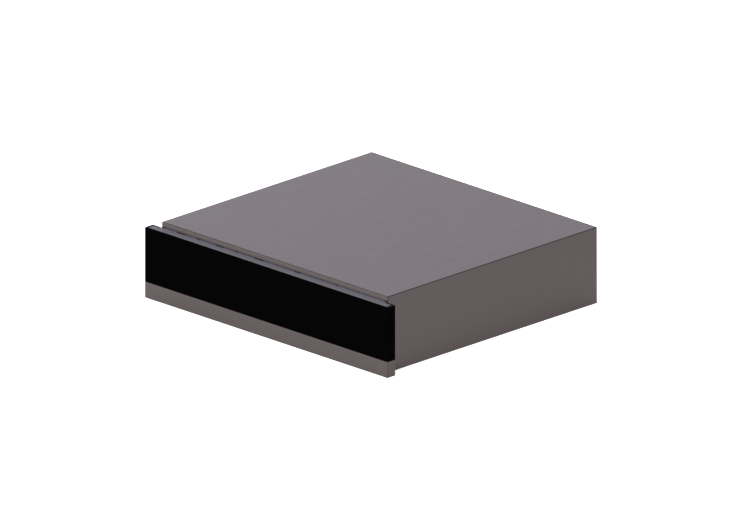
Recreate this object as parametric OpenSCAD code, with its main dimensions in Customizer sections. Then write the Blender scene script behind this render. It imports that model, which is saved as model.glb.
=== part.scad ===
// Built-in warming drawer of the 14 cm module.
// Millimetres, +X to the right, +Y to the back, +Z up. The origin is the middle of the whole object's
// footprint, on its underside. Inside the modules, y = 0 is the casing's front plane; seated() moves a
// piece from there to the object's own frame.

/* [Casing] */
// Width of the casing
case_w = 554; // [530:1:560]
// Height of the casing
case_h = 140; // [134:1:170]
// Depth of the casing behind its front plane
case_d = 513.5; // [440:0.5:600]
// Thickness of the outer cover sheet
cover_t = 0.8; // [0.6:0.1:1.2]
// Outer bend radius along the cover's top edges
bend_r = 1.5; // [1.3:0.1:3]
// Thickness of the base pan
base_t = 1; // [0.8:0.1:2]
// Thickness of the chassis sheets: front frame, side walls and back panel
frame_t = 1; // [0.8:0.1:1.5]
// Thickness of the inner liner sheets
liner_t = 0.8; // [0.6:0.1:1.2]
// How far the back panel sits inside the cover's rear edge
back_recess = 3; // [2.6:0.1:6]
// Depth of the box section above the drawer
lip_d = 15; // [10:1:25]
// Height of the sill under the drawer
sill_h = 13; // [12.5:0.1:13.5]
// Depth of the sill's fold behind the front plane
sill_d = 10; // [6:1:16]

/* [Insulation] */
// Thickness of the wool mats beside the chassis
side_wool_t = 5; // [3:0.5:8]
// Thickness of the wool mat in the base
base_wool_t = 10; // [8:0.5:10.5]
// Gap left round every wool mat
wool_gap = 0.3; // [0.2:0.1:0.5]

/* [Drawer front] */
// Width of the drawer front
front_w = 595; // [592:1:600]
// Thickness of the drawer front
front_t = 19.5; // [16:0.5:24]
// Gap between the shut front and the casing, which the push latch needs
front_gap = 2; // [1.9:0.1:3]
// How far the front's top edge lies under the casing's top
front_drop = 10; // [9:0.5:13]
// Gap between the front's lower edge and the shelf
front_lift = 0.5; // [0.3:0.1:1.5]
// Height of the steel trim above the casing's underside
trim_top = 30; // [20:1:60]
// Thickness of the glass panel
glass_t = 3; // [3:0.5:5]
// Sheet thickness of the trim and of the shell behind the glass
trim_t = 1.2; // [0.8:0.1:1.5]
// Thickness of the control strip
strip_t = 1.5; // [1:0.1:2]
// Gap between the control strip and the casing's lip
lip_gap = 1.2; // [0.8:0.1:1.6]
// Depth of the control housing behind the drawer front
housing_d = 31; // [29:1:40]

/* [Drawer] */
// Sheet thickness of the drawer's sides and crossbar
side_t = 1.2; // [1:0.1:1.5]
// Sheet thickness of the tray
tray_t = 0.8; // [0.6:0.1:1.2]
// Height of the tray's underside over the casing's underside
tray_z = 24.5; // [24.5:0.1:28]
// Height of the tray's rim over the casing's underside
rim_z = 108.5; // [100:0.5:112]
// Radius of the tray's upright corners
tray_r = 22; // [16:1:40]
// Radius between the tray's floor and walls
tray_foot_r = 8; // [4:1:12]
// Thickness of the anti-slip mat
mat_t = 1.5; // [1:0.1:3]

/* [Runners] */
// Gap between the runners' rear ends and the air baffle
runner_clear = 16; // [4:1:36]
// Distance of the runner's front end behind the casing's front plane
runner_y = 8; // [6:1:9]
// Height of the runner's middle line
runner_z = 60; // [50:1:70]
// Radius of the runner's balls
ball_r = 1.75; // [1.6:0.05:1.8]
// Clearance between a ball and its groove
ball_gap = 0.05; // [0.03:0.01:0.08]
// Length of the ball cages
cage_l = 190; // [150:1:196]
// Number of balls in a row
balls = 7; // [4:1:9]

/* [Fan and heater] */
// Depth of the rear compartment, from the motor plate to the back panel
rear_d = 45.9; // [42:0.1:70]
// Depth of the hot chamber between baffle and motor plate
chamber_d = 38; // [36:1:42]
// Radius of the fan wheel
fan_r = 45; // [38:1:46]
// Width of the fan wheel
fan_w = 22; // [16:1:24]
// Number of fan blades
blades = 18; // [10:1:24]
// Radius of the motor shaft
shaft_r = 2.5; // [2:0.1:3]
// Clearance of the shaft in its bearings
shaft_gap = 0.05; // [0.02:0.01:0.08]
// Radius of the heater's ring, to the middle of its tube
heater_r = 53; // [51:0.5:53.5]
// Radius of the heater's tube
heater_tube_r = 3.2; // [2.5:0.1:3.4]
// Thickness of the motor's lamination stack
stator_l = 16; // [10:1:20]

/* [Fixings] */
// Radius of the screw holes in the lugs
lug_hole_r = 2.6; // [2:0.1:3]
// Reach of the lugs beyond the casing's side
lug_w = 17; // [14:0.5:18]
// Height between the two lug holes on a side
lug_pitch = 60; // [40:1:70]
// Radius of a sheet screw's shank
screw_r = 1.7; // [1.5:0.1:2]
// Radius of the bore for the mains lead in the cable bush
lead_bore_r = 4; // [3:0.1:5]

/* [Hidden] */
$fn = 48;
steel = "#6a6263";
top_steel = "#827c83";
strip_grey = "#686670";
black = "#101011";
zinc = "#a9adb0";
stainless = "#b9b9ba";
wool_yellow = "#c9bf9a";
copper = "#b06a3b";
board_green = "#2d5a3d";
dark_plastic = "#242427";
white_plastic = "#dcdcd6";
rubber = "#2b2b2d";

// Levels and places, from the casing's front plane, middle and underside
face_y = (front_t + front_gap - case_d) / 2;
front_y = -front_gap - front_t;
cover_in_x = case_w / 2 - cover_t;
wall_out_x = cover_in_x - side_wool_t - 2 * wool_gap;
wall_in_x = wall_out_x - frame_t;
back_y = case_d - back_recess;
back_in_y = back_y - frame_t;
strip_z = case_h - front_drop;
strip_under = strip_z - strip_t;
lip_z = strip_z + lip_gap;
liner_z = base_t + base_wool_t + 2 * wool_gap;
floor_z = liner_z + liner_t;
motor_back = back_in_y - rear_d;
motor_y = motor_back - liner_t;
chamber_y = motor_y - chamber_d;
baffle_y = chamber_y - liner_t;
flange_w = 14;
seat_gap = 0.2;
sheet_gap = 1;
screw_gap = 0.1;
press_gap = 0.1;
pin_gap = 0.05;
body_gap = 0.3;
cut = 1;

// Runners, whose length is also how far the drawer opens. In their section p runs from the chassis wall
// towards the drawer, and q up from the runner's middle line
runner_l = baffle_y - runner_clear - runner_y;
runner_t = 12.7;
rail_t = 1.2;
rail_h = 22.85;
groove_r = ball_r + ball_gap;
groove_depth = 0.5;
ball_p = 6.35;
outer_ball_q = rail_h - rail_t + groove_depth - groove_r;
rail_hug = groove_r - groove_depth;
middle_q = outer_ball_q - rail_hug;
middle_flange = 1.9;
inner_ball_q = middle_q - middle_flange - rail_hug;
inner_q = inner_ball_q - rail_hug;
inner_flange = 1.7;
middle_p = 2;
inner_p = 4.2;
flange_p = 9.2;
cage_t = 0.4;
cage_band = 0.5;
cage_arm = 8.8;
cage_end = 8;
cage_lead = 1;
cage_y = runner_y + (runner_l - cage_l) / 2 - cage_lead;
rivet_hole_r = 2.1;
access_hole_r = 5;

// Drawer places
drawer_x = wall_in_x - runner_t;
side_in_x = drawer_x - side_t;
housing_gap = 0.9;
housing_x = side_in_x - housing_gap;
housing_y = housing_d - front_gap;
housing_t = 1;
carriage_z = 20;
tray_gap = 0.5;
tray_x = side_in_x - tray_gap;
rim_out = 2.2;
tray_front = housing_y + rim_out;
tray_behind = 7;
tray_back = baffle_y - tray_behind;
crossbar_y = tray_back + body_gap;
buffer_clear = 2;
buffer_r = 5;
crossbar_h = 24;
shelf_w = 12;
striker_in = 12.5;
striker_y = crossbar_y - striker_in;

// Fan and rear compartment places
fan_clear = 6;
fan_y = motor_y - fan_clear - fan_w;
fan_z = (floor_z + lip_z) / 2;
heater_y = fan_y + fan_w / 2;
stator_gap = 13;
stator_y = motor_back + stator_gap;
bolt_x = 25;
board_side = 11.6;
board_w = 126;
board_x0 = -wall_in_x + flange_w + board_side;
board_x1 = board_x0 + board_w;
connector_first = 18;
connector_pitch = 22;
connector_w = 16;
connectors_x = [for (i = [0:4]) board_x0 + connector_first + i * connector_pitch];
lead_x = connectors_x[4];
lead_coil_r = 4.75;
lead_coil_lift = 0.35;
lead_z = floor_z + lead_coil_r + lead_coil_lift;
lead_hole_gap = 1.2;
clamp_in = 25;
clamp_y = motor_back + clamp_in;
bush_in = 64.6;
bush_x = wall_in_x - bush_in;
bush_z = 52;

// Marks on the control strip: where its lights and its touch fields are
lights_x = [-189, -184, -93, 154];
fields_x = [-228, -133.6, -37.7, 57];
lights_y = -0.7;
fields_y = 14;
control_board_drop = 7.6;
board_t = 1.6;
board_z = strip_under - control_board_drop;

// ---- helpers ----

module seated() translate([0, face_y, 0]) children();

module block(low, high) translate(low) cube(high - low);

module both() {
    children();
    mirror([1, 0, 0]) children();
}

// A flat outline in X and Z, made solid from y0 to y1
module along_y(y0, y1) translate([0, y1, 0]) rotate([90, 0, 0]) linear_extrude(y1 - y0) children();

// A round bar along Y at (x, z)
module rod_y(x, z, r, y0, y1) translate([x, y0, z]) rotate([-90, 0, 0]) cylinder(r = r, h = y1 - y0);

module rod_x(y, z, r, x0, x1) translate([x0, y, z]) rotate([0, 90, 0]) cylinder(r = r, h = x1 - x0);

module rounded(w, d, r) {
    square([w - 2 * r, d], center = true);
    square([w, d - 2 * r], center = true);
    for (x = [-1, 1], y = [-1, 1]) translate([x * (w / 2 - r), y * (d / 2 - r)]) circle(r);
}

// An upright slot in a sheet that lies across Y
module slot_y(x, z0, z1, w, y0, y1) {
    block([x - w / 2, y0, z0 + w / 2], [x + w / 2, y1, z1 - w / 2]);
    for (z = [z0 + w / 2, z1 - w / 2]) rod_y(x, z, w / 2, y0, y1);
}

// A solid with rounded upright corners and a rounded foot, standing on z = 0
module basin(w, d, h, r, foot) {
    linear_extrude(h) rounded(w - 2 * foot, d - 2 * foot, r - foot);
    translate([0, 0, foot]) linear_extrude(h - foot) rounded(w, d, r);
    for (s = [-1, 1]) {
        translate([s * (w / 2 - foot), 0, foot]) rotate([90, 0, 0])
            cylinder(r = foot, h = d - 2 * r, center = true);
        translate([0, s * (d / 2 - foot), foot]) rotate([0, 90, 0])
            cylinder(r = foot, h = w - 2 * r, center = true);
    }
    for (x = [-1, 1], y = [-1, 1]) translate([x * (w / 2 - r), y * (d / 2 - r), foot])
        rotate_extrude() {
            translate([r - foot, 0]) circle(foot);
            translate([0, -foot]) square([r - foot, 2 * foot]);
        }
}

// A lead of round wire through straight runs, each joined by a ball
module wire(points, r) {
    for (i = [0:len(points) - 2]) {
        run = points[i + 1] - points[i];
        span = norm(run);
        translate(points[i]) rotate([0, acos(run[2] / span), atan2(run[1], run[0])])
            cylinder(r = r, h = span, $fn = 16);
        if (i > 0) translate(points[i]) sphere(r + pin_gap, $fn = 16);
    }
}

screw_head_r = 2 * screw_r;
screw_head_h = 1.2 * screw_r;

// Pan-head sheet screw with its head against the plane y = 0 and its point towards -y
module screw(length) {
    rod_y(0, 0, screw_r, -length, 0);
    rod_y(0, 0, screw_head_r, 0, screw_head_h);
}

// ---- casing ----

// The casing's outline seen from the front, with its two bent top edges
module casing_outline(half_w, top, r, low = 0) {
    translate([-half_w, low]) square([2 * half_w, top - r - low]);
    translate([-half_w + r, low]) square([2 * (half_w - r), top - low]);
    for (s = [-1, 1]) translate([s * (half_w - r), top - r]) circle(r);
}

module cover() color(top_steel) seated() along_y(frame_t, case_d) difference() {
    casing_outline(case_w / 2, case_h, bend_r);
    casing_outline(cover_in_x, case_h - cover_t, bend_r - cover_t, -cut);
}

module base_pan() color(zinc) seated() difference() {
    union() {
        block([-cover_in_x, frame_t, 0], [cover_in_x, back_in_y, base_t]);
        block([-wall_in_x + flange_w + sheet_gap, back_in_y - frame_t, base_t],
              [wall_in_x - flange_w - sheet_gap, back_in_y, base_t + flange_w]);
        // tab that clamps the drawer's curly lead
        block([lead_x - clamp_w, clamp_y, base_t], [lead_x + clamp_w, clamp_y + frame_t, lead_z + clamp_w]);
    }
    rod_y(lead_x, lead_z, wire_r + body_gap, clamp_y - cut, clamp_y + frame_t + cut);
    // air inlets under the motor
    for (i = [-9:9]) translate([i * vent_pitch, (motor_back + back_in_y) / 2, -cut])
        linear_extrude(base_t + 2 * cut) rounded(vent_w, inlet_l, vent_w / 2 - press_gap);
    for (x = base_screws_x) rod_y(x, base_screws_z, screw_r + screw_gap, back_in_y - 2 * frame_t, back_y);
}

clamp_w = 7;
vent_w = 4;
vent_pitch = 9;
inlet_l = 26;
base_screws_in = 70;
base_screws_x = [-wall_in_x + base_screws_in, 0, wall_in_x - base_screws_in];
base_screws_z = base_t + flange_w / 2;
side_screws_z = [0.18 * case_h, 0.5 * case_h, 0.82 * case_h];
side_screws_x = wall_in_x - flange_w / 2;
back_screw_l = 6;

module back_panel() color(zinc) seated() difference() {
    along_y(back_in_y, back_y) casing_outline(cover_in_x, case_h - cover_t, bend_r);
    for (x = base_screws_x) rod_y(x, base_screws_z, screw_r + screw_gap, back_in_y - cut, back_y + cut);
    both() for (z = side_screws_z)
        rod_y(side_screws_x, z, screw_r + screw_gap, back_in_y - cut, back_y + cut);
    // air outlets behind the motor, in two rows
    for (i = [-8:8], row = [0, 1]) {
        low = case_h * (0.34 + 0.29 * row);
        slot_y(i * vent_pitch, low, low + 0.23 * case_h, vent_w, back_in_y - cut, back_y + cut);
    }
    rod_y(bush_x, bush_z, bush_r + press_gap, back_in_y - cut, back_y + cut);
}

module back_screws() color(zinc) seated() {
    for (x = base_screws_x) translate([x, back_y, base_screws_z]) screw(back_screw_l);
    both() for (z = side_screws_z) translate([side_screws_x, back_y, z]) screw(back_screw_l);
}

lug_edge = 7.5;
lug_root = 12.5;
lug_h = 28;
lug_corner_r = 4;
lug_x = case_w / 2 + lug_w - lug_edge;
lugs_z = [case_h / 2 - lug_pitch / 2, case_h / 2 + lug_pitch / 2];

module front_frame() color(steel) seated() {
    along_y(0, frame_t) difference() {
        union() {
            casing_outline(case_w / 2, case_h, bend_r);
            for (s = [-1, 1], z = lugs_z) translate([s * (case_w / 2 + lug_w - lug_root), z])
                rounded(2 * lug_root, lug_h, lug_corner_r);
        }
        translate([-wall_in_x, sill_h]) square([2 * wall_in_x, lip_z - sill_h]);
        for (s = [-1, 1], z = lugs_z) translate([s * lug_x, z]) circle(lug_hole_r);
    }
    // the lip's underside and its rear web
    block([-wall_out_x, frame_t, lip_z], [wall_out_x, lip_d, lip_z + frame_t]);
    block([-wall_out_x, lip_d - frame_t, lip_z + frame_t], [wall_out_x, lip_d, case_h - cover_t]);
    // the sill's fold
    block([-wall_in_x, frame_t, sill_h - frame_t], [wall_in_x, sill_d, sill_h]);
}

rivets_y = [runner_y + 0.1 * runner_l, runner_y + 0.5 * runner_l, runner_y + 0.9 * runner_l];

module side_wall() color(zinc) seated() difference() {
    union() {
        block([wall_in_x, frame_t, base_t], [wall_out_x, back_in_y, lip_z]);
        block([wall_out_x, frame_t, base_t], [cover_in_x, back_in_y, base_t + frame_t]);
        block([wall_out_x, lip_d, lip_z - frame_t], [cover_in_x, back_in_y, lip_z]);
        block([wall_in_x - flange_w, back_in_y - frame_t, base_t], [wall_in_x, back_in_y, lip_z]);
    }
    for (z = side_screws_z) rod_y(side_screws_x, z, screw_r + screw_gap, back_in_y - 2 * frame_t, back_y);
    for (y = rivets_y) rod_x(y, runner_z, rivet_hole_r, wall_in_x - cut, wall_out_x + cut);
}

module side_wall_left() mirror([1, 0, 0]) side_wall();
module side_wall_right() side_wall();

module ceiling_plate() color(stainless) seated() {
    half_w = cover_in_x - sheet_gap;
    block([-half_w, lip_d, lip_z], [half_w, motor_y, lip_z + liner_t]);
    // an upturned rear edge that stiffens the plate
    block([-half_w, motor_y - liner_t, lip_z + liner_t], [half_w, motor_y, case_h - cover_t]);
}

module base_liner() color(stainless) seated() {
    block([-wall_in_x, sill_d, liner_z], [wall_in_x, motor_y, floor_z]);
    both() block([wall_in_x - liner_t, sill_d, base_t], [wall_in_x, motor_y, liner_z]);
    block([-wall_in_x + liner_t, motor_y - liner_t, base_t], [wall_in_x - liner_t, motor_y, liner_z]);
}

module top_insulation() color(wool_yellow) seated()
    block([-cover_in_x + 2 * sheet_gap, lip_d + wool_gap, lip_z + liner_t + wool_gap],
          [cover_in_x - 2 * sheet_gap, motor_y - liner_t - wool_gap, case_h - cover_t - wool_gap]);

module base_insulation() color(wool_yellow) seated()
    block([-wall_in_x + liner_t + wool_gap, frame_t + wool_gap, base_t + wool_gap],
          [wall_in_x - liner_t - wool_gap, motor_y - liner_t - wool_gap, liner_z - wool_gap]);

module side_insulation() color(wool_yellow) seated() both()
    block([wall_out_x + wool_gap, frame_t + wool_gap, base_t + frame_t + wool_gap],
          [cover_in_x - wool_gap, motor_y, lip_z - frame_t - wool_gap]);

// ---- hot chamber, fan and heater ----

intake_pitch = 9;
intake_reach = 34;
outlet_pitch = 12;
outlet_first = 120;
baffle_slot_w = 6;
louvre_w = 5;
louvre_margin = 10;
louvre_rise = 4;
intake_x = [for (i = [-4:4]) i * intake_pitch];
outlet_x = [for (s = [-1, 1], i = [0:9]) s * (outlet_first + i * outlet_pitch)];

module air_baffle() color(stainless) seated() difference() {
    block([-wall_in_x, baffle_y, floor_z], [wall_in_x, chamber_y, lip_z]);
    for (x = intake_x)
        slot_y(x, fan_z - intake_reach, fan_z + intake_reach, louvre_w, baffle_y - cut, chamber_y + cut);
    for (x = outlet_x) slot_y(x, louvre_low, louvre_high, baffle_slot_w, baffle_y - cut, chamber_y + cut);
    rod_y(lead_x, lead_z, lead_coil_r + lead_hole_gap, baffle_y - cut, chamber_y + cut);
}

terminal_x = 9;
terminal_angle = asin(terminal_x / heater_r);
terminal_z = fan_z + heater_r * cos(terminal_angle);
terminal_out = 16;
terminal_pin = 6;
terminal_tip = motor_back + terminal_out;
probe_r = 3;
probe_in = 16;
cutout_r = 5;
cutout_out = 33;
sensor_x = heater_r + cutout_out + 2 * probe_r;
cutout_x = heater_r + cutout_out;
sensor_rise = 26;
sensor_z = fan_z + sensor_rise;
plate_fold = 10;
tube_gap = 0.6;
knuckle_swell = 0.15;

module motor_plate() color(zinc) seated() difference() {
    union() {
        block([-wall_in_x, motor_y, base_t], [wall_in_x, motor_back, lip_z]);
        block([-wall_in_x, motor_back, lip_z - liner_t], [wall_in_x, motor_back + plate_fold, lip_z]);
        block([-wall_in_x, motor_back, base_t], [wall_in_x, motor_back + plate_fold, base_t + liner_t]);
        heater_clips();
    }
    rod_y(0, fan_z, 2.4 * shaft_r, motor_y - cut, motor_back + cut);
    for (s = [-1, 1]) {
        rod_y(s * bolt_x, fan_z, bolt_r + screw_gap, motor_y - cut, motor_back + cut);
        rod_y(s * terminal_x, terminal_z, heater_tube_r + tube_gap,
              motor_y - cut, motor_back + plate_fold + cut);
    }
    rod_y(lead_x, lead_z, lead_coil_r + lead_hole_gap, motor_y - cut, motor_back + cut);
    rod_y(-sensor_x, sensor_z, probe_r + press_gap, motor_y - cut, motor_back + cut);
    rod_y(cutout_x, sensor_z, cutout_r + press_gap, motor_y - cut, motor_back + cut);
}

// Sheathed heater: an open ring round the fan wheel, its two ends turned back through the motor plate
module heater_element() color("#7d7468") seated() {
    translate([0, heater_y, fan_z]) rotate([90, 0, 0]) rotate([0, 0, 90 + terminal_angle])
        rotate_extrude(angle = 360 - 2 * terminal_angle) translate([heater_r, 0]) circle(heater_tube_r);
    for (s = [-1, 1]) {
        translate([s * terminal_x, heater_y, terminal_z]) sphere(heater_tube_r + knuckle_swell);
        rod_y(s * terminal_x, terminal_z, heater_tube_r, heater_y, terminal_tip - terminal_pin);
        rod_y(s * terminal_x, terminal_z, 0.4 * heater_tube_r, terminal_tip - terminal_pin, terminal_tip);
    }
}

// Three tabs of the motor plate that the ring rests against
module heater_clips() for (a = [-30, 210, 270])
    translate([heater_r * cos(a), 0, fan_z + heater_r * sin(a)]) rotate([0, -a, 0]) {
        back = heater_y + heater_tube_r + seat_gap;
        block([-clip_w, back, -clip_h], [clip_w, back + liner_t, clip_h]);
        block([-liner_t / 2, back + liner_t / 2, -clip_h], [liner_t / 2, motor_y + liner_t / 2, clip_h]);
    }

clip_w = 4;
clip_h = 3;
bolt_r = 2;
rotor_r = 11;
rotor_gap = 0.5;
stator_end = stator_y + stator_l;
stator_w = 60;
stator_low = 48;
stator_high = 24;
stator_limb = 10;
limb_top = stator_low - stator_limb;
window_h = 18;
window_w = 36;

// Lamination stack of the shaded-pole motor
module motor_stator() color("#6f7376") seated() difference() {
    block([-stator_w / 2, stator_y, fan_z - stator_low], [stator_w / 2, stator_end, fan_z + stator_high]);
    block([-window_w / 2, stator_y - cut, fan_z - limb_top],
          [window_w / 2, stator_end + cut, fan_z - limb_top + window_h]);
    rod_y(0, fan_z, rotor_r + rotor_gap, stator_y - cut, stator_end + cut);
    // bolt holes, and the two saw cuts of the shading rings
    for (s = [-1, 1]) {
        rod_y(s * bolt_x, fan_z, bolt_r + screw_gap, stator_y - cut, stator_end + cut);
        block([s * shading_x - shading_cut, stator_y - cut, fan_z + stator_high - shading_h],
              [s * shading_x + shading_cut, stator_end + cut, fan_z + stator_high + cut]);
    }
}

shading_x = 9;
shading_cut = 1;
shading_h = 8;
coil_x = 16.5;
coil_wall = 8;
coil_low = 7;
coil_high = 2;

module motor_coil() color(copper) seated() difference() {
    block([-coil_x, stator_y - coil_wall, fan_z - stator_low - coil_low],
          [coil_x, stator_end + coil_wall, fan_z - limb_top + window_h - coil_high]);
    block([-coil_x - cut, stator_y - seat_gap, fan_z - stator_low - seat_gap],
          [coil_x + cut, stator_end + seat_gap, fan_z - limb_top + seat_gap]);
}

bridge_t = 1.5;
bridge_gap = 4;
bridge_h = 7;
bridge_w = 62;
bearing_r = 7;
bearing_l = 5.5;
bearing_back = 2;

// Front and rear bearing bridges
module motor_brackets() color(zinc) seated() for (side = [0, 1]) {
    y0 = side == 0 ? stator_y - bridge_gap - bridge_t : stator_end + bridge_gap;
    difference() {
        union() {
            block([-bridge_w / 2, y0, fan_z - bridge_h], [bridge_w / 2, y0 + bridge_t, fan_z + bridge_h]);
            rod_y(0, fan_z, bearing_r, y0 - bearing_back, y0 - bearing_back + bearing_l);
        }
        rod_y(0, fan_z, shaft_r + shaft_gap, y0 - bearing_back - cut, y0 - bearing_back + bearing_l + cut);
        for (s = [-1, 1]) rod_y(s * bolt_x, fan_z, bolt_r + screw_gap, y0 - cut, y0 + bridge_t + cut);
    }
}

spacer_r = 3.6;
bolt_head_h = 2.2;
nut_r = 4;
nut_h = 3;
bolt_end = 0.5;

// Two long bolts with their heads in the hot chamber, spacer tubes and nuts
module motor_bolts() color(zinc) seated() for (s = [-1, 1]) {
    nut_y = stator_end + bridge_gap + bridge_t;
    bridge_y = stator_y - bridge_gap;
    rod_y(s * bolt_x, fan_z, bolt_r, motor_y, nut_y + nut_h + bolt_end);
    rod_y(s * bolt_x, fan_z, spacer_r, motor_y - bolt_head_h, motor_y);
    for (span = [[motor_back, bridge_y - bridge_t], [bridge_y, stator_y], [stator_end, nut_y - bridge_t]])
        difference() {
            rod_y(s * bolt_x, fan_z, spacer_r, span[0], span[1]);
            rod_y(s * bolt_x, fan_z, bolt_r + screw_gap, span[0] - cut, span[1] + cut);
        }
    difference() {
        translate([s * bolt_x, nut_y, fan_z]) rotate([-90, 0, 0]) cylinder(r = nut_r, h = nut_h, $fn = 6);
        rod_y(s * bolt_x, fan_z, bolt_r + screw_gap, nut_y - cut, nut_y + nut_h + cut);
    }
}

shaft_front = 6;
shaft_rear = 12;
shaft_nut_r = 4.4;
shaft_nut_h = 3.6;
nut_stand_off = 0.4;

module fan_shaft() color(stainless) seated() {
    rod_y(0, fan_z, shaft_r, fan_y - shaft_front, stator_end + shaft_rear);
    rod_y(0, fan_z, rotor_r, stator_y, stator_end);
    translate([0, fan_y - shaft_nut_h - nut_stand_off, fan_z]) rotate([-90, 0, 0])
        cylinder(r = shaft_nut_r, h = shaft_nut_h, $fn = 6);
}

wheel_t = 1;
hub_r = 8;
blade_rake = 24;

// Radial fan wheel: hub, back disc, front ring and raked blades
module fan_wheel() color(zinc) seated() translate([0, fan_y, fan_z]) rotate([-90, 0, 0]) difference() {
    union() {
        translate([0, 0, fan_w - wheel_t]) cylinder(r = fan_r, h = wheel_t);
        cylinder(r = hub_r, h = fan_w);
        difference() {
            cylinder(r = fan_r, h = wheel_t);
            translate([0, 0, -cut]) cylinder(r = 0.8 * fan_r, h = wheel_t + 2 * cut);
        }
        for (i = [0:blades - 1]) rotate(i * 360 / blades) translate([0.55 * fan_r, 0, wheel_t / 2])
            rotate(blade_rake) translate([0, -wheel_t / 2, 0]) cube([0.4 * fan_r, wheel_t, fan_w - wheel_t]);
    }
    translate([0, 0, -cut]) cylinder(r = shaft_r + shaft_gap, h = fan_w + 2 * cut);
}

// Bimetal cut-out on the right, temperature probe on the left, each with its two tags
module temperature_sensors() color(white_plastic) seated() {
    rod_y(cutout_x, sensor_z, cutout_r, motor_y - cutout_sink, motor_back);
    rod_y(cutout_x, sensor_z, cutout_r + cutout_flange, motor_back, motor_back + cutout_h);
    rod_y(-sensor_x, sensor_z, probe_r, motor_y - probe_in, motor_back);
    rod_y(-sensor_x, sensor_z, 2 * probe_r, motor_back, motor_back + probe_head);
    for (s = [-1, 1]) {
        block([cutout_x + s * cutout_tag_x - tag_half_w, motor_back + cutout_h, sensor_z - tag_half_t],
              [cutout_x + s * cutout_tag_x + tag_half_w, motor_back + 2 * cutout_h, sensor_z + tag_half_t]);
        rod_y(-sensor_x + s * probe_pin_x, sensor_z, fine_wire_r,
              motor_back + probe_head, motor_back + probe_tip);
    }
}

cutout_h = 7;
cutout_tag_x = 4;
cutout_sink = 2;
cutout_flange = 3;
tag_half_w = 2;
tag_half_t = 0.4;
probe_head = 4;
probe_tip = 12;
probe_pin_x = 2.5;

// ---- electrics in the rear compartment ----

board_low = 30;
board_h = 84;
board_high = board_low + board_h;
board_tray_d = 12;
board_tray_t = 2;
post_r = 3;
post_in = 6;
power_board_out = 9.6;
power_board_y = back_in_y - power_board_out;

module board_tray() color(dark_plastic) seated() {
    difference() {
        block([board_x0 - 2 * board_tray_t, back_in_y - board_tray_d, board_low - 2 * board_tray_t],
              [board_x1 + 2 * board_tray_t, back_in_y, board_high + 2 * board_tray_t]);
        block([board_x0 - board_tray_t, back_in_y - board_tray_d - cut, board_low - board_tray_t],
              [board_x1 + board_tray_t, back_in_y - board_tray_t, board_high + board_tray_t]);
    }
    for (x = [board_x0 + post_in, board_x1 - post_in], z = [board_low + post_in, board_high - post_in])
        rod_y(x, z, post_r, power_board_y + board_t, back_in_y - board_tray_t);
}

relay_w = 20;
relay_h = 24;
relay_d = 16;
relays_x = [board_x0 + relay_w, board_x0 + relay_w + relay_h];
relay_drop = 10;
relay_top = board_high - relay_drop;
transformer_w = 36;
transformer_h = 32;
transformer_d = 24;
transformer_in = 12;
transformer_x = board_x1 - transformer_in;
capacitor_r = 6;
capacitor_l = 20;
capacitor_pitch = 18;
capacitor_rise = 28;
capacitor_z = board_low + capacitor_rise;
connector_rise = 4;
connector_low = board_low + connector_rise;
connector_h = 8;
connector_d = 10;

// Board with two relays, a transformer, capacitors and the connector row on its front face
module power_board() color(board_green) seated() {
    top = power_board_y;
    block([board_x0, top, board_low], [board_x1, top + board_t, board_high]);
    for (x = relays_x)
        block([x - relay_w / 2, top - relay_d, relay_top - relay_h], [x + relay_w / 2, top, relay_top]);
    block([transformer_x - transformer_w, top - transformer_d, relay_top - transformer_h],
          [transformer_x, top, relay_top]);
    for (i = [0:2])
        rod_y(board_x0 + connector_pitch + i * capacitor_pitch, capacitor_z, capacitor_r,
              top - capacitor_l, top);
    for (x = connectors_x) block([x - connector_w / 2, top - connector_d, connector_low],
                                 [x + connector_w / 2, top, connector_low + connector_h]);
}

block_shift = 5;
block_x = bush_x - block_shift;
block_out = 12;
block_y = motor_back + block_out;
block_w = 54;
block_d = 20;
block_foot = 4;
pole_pitch = 16;
pole_w = 13;
pole_h = 18;
pole_d = 16;
mouth_r = 1.8;
pole_screw_r = 3;
pole_sink = 1;
poles_x = [for (i = [-1:1]) block_x + i * pole_pitch];
pole_y = block_y + block_d / 2;
block_top = base_t + block_foot;
block_mouth = base_t + pole_w;

// Three-pole terminal block on its foot
module terminal_block() color(white_plastic) seated() difference() {
    union() {
        block([block_x - block_w / 2, block_y, base_t],
              [block_x + block_w / 2, block_y + block_d, block_top]);
        for (x = poles_x) block([x - pole_w / 2, pole_y - pole_d / 2, block_top],
                                [x + pole_w / 2, pole_y + pole_d / 2, block_top + pole_h]);
    }
    for (x = poles_x) {
        translate([x, pole_y, block_mouth - pole_sink]) cylinder(r = pole_screw_r, h = pole_h);
        rod_y(x, block_mouth, mouth_r, block_y, block_y + block_d);
    }
}

bush_r = 9;
bush_in_l = 10;
bush_clip = 4;
bush_flange = 3;
bush_recess = 0.5;

// Plastic bush that holds the mains lead in the back panel
module cable_bush() color(dark_plastic) seated() difference() {
    union() {
        rod_y(bush_x, bush_z, bush_r, back_in_y - bush_in_l, back_y);
        rod_y(bush_x, bush_z, bush_r + bush_clip, back_y, case_d - bush_recess);
        rod_y(bush_x, bush_z, bush_r + bush_flange, back_in_y - bush_clip, back_in_y);
    }
    rod_y(bush_x, bush_z, lead_bore_r, back_in_y - bush_in_l - cut, case_d + cut);
}

wire_r = 1.2;
fine_wire_r = 0.8;
relay_pin_x = 5;
over_motor = 40;
earth_rise = 30;
seated_tip = relay_top + seat_gap;

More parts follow.
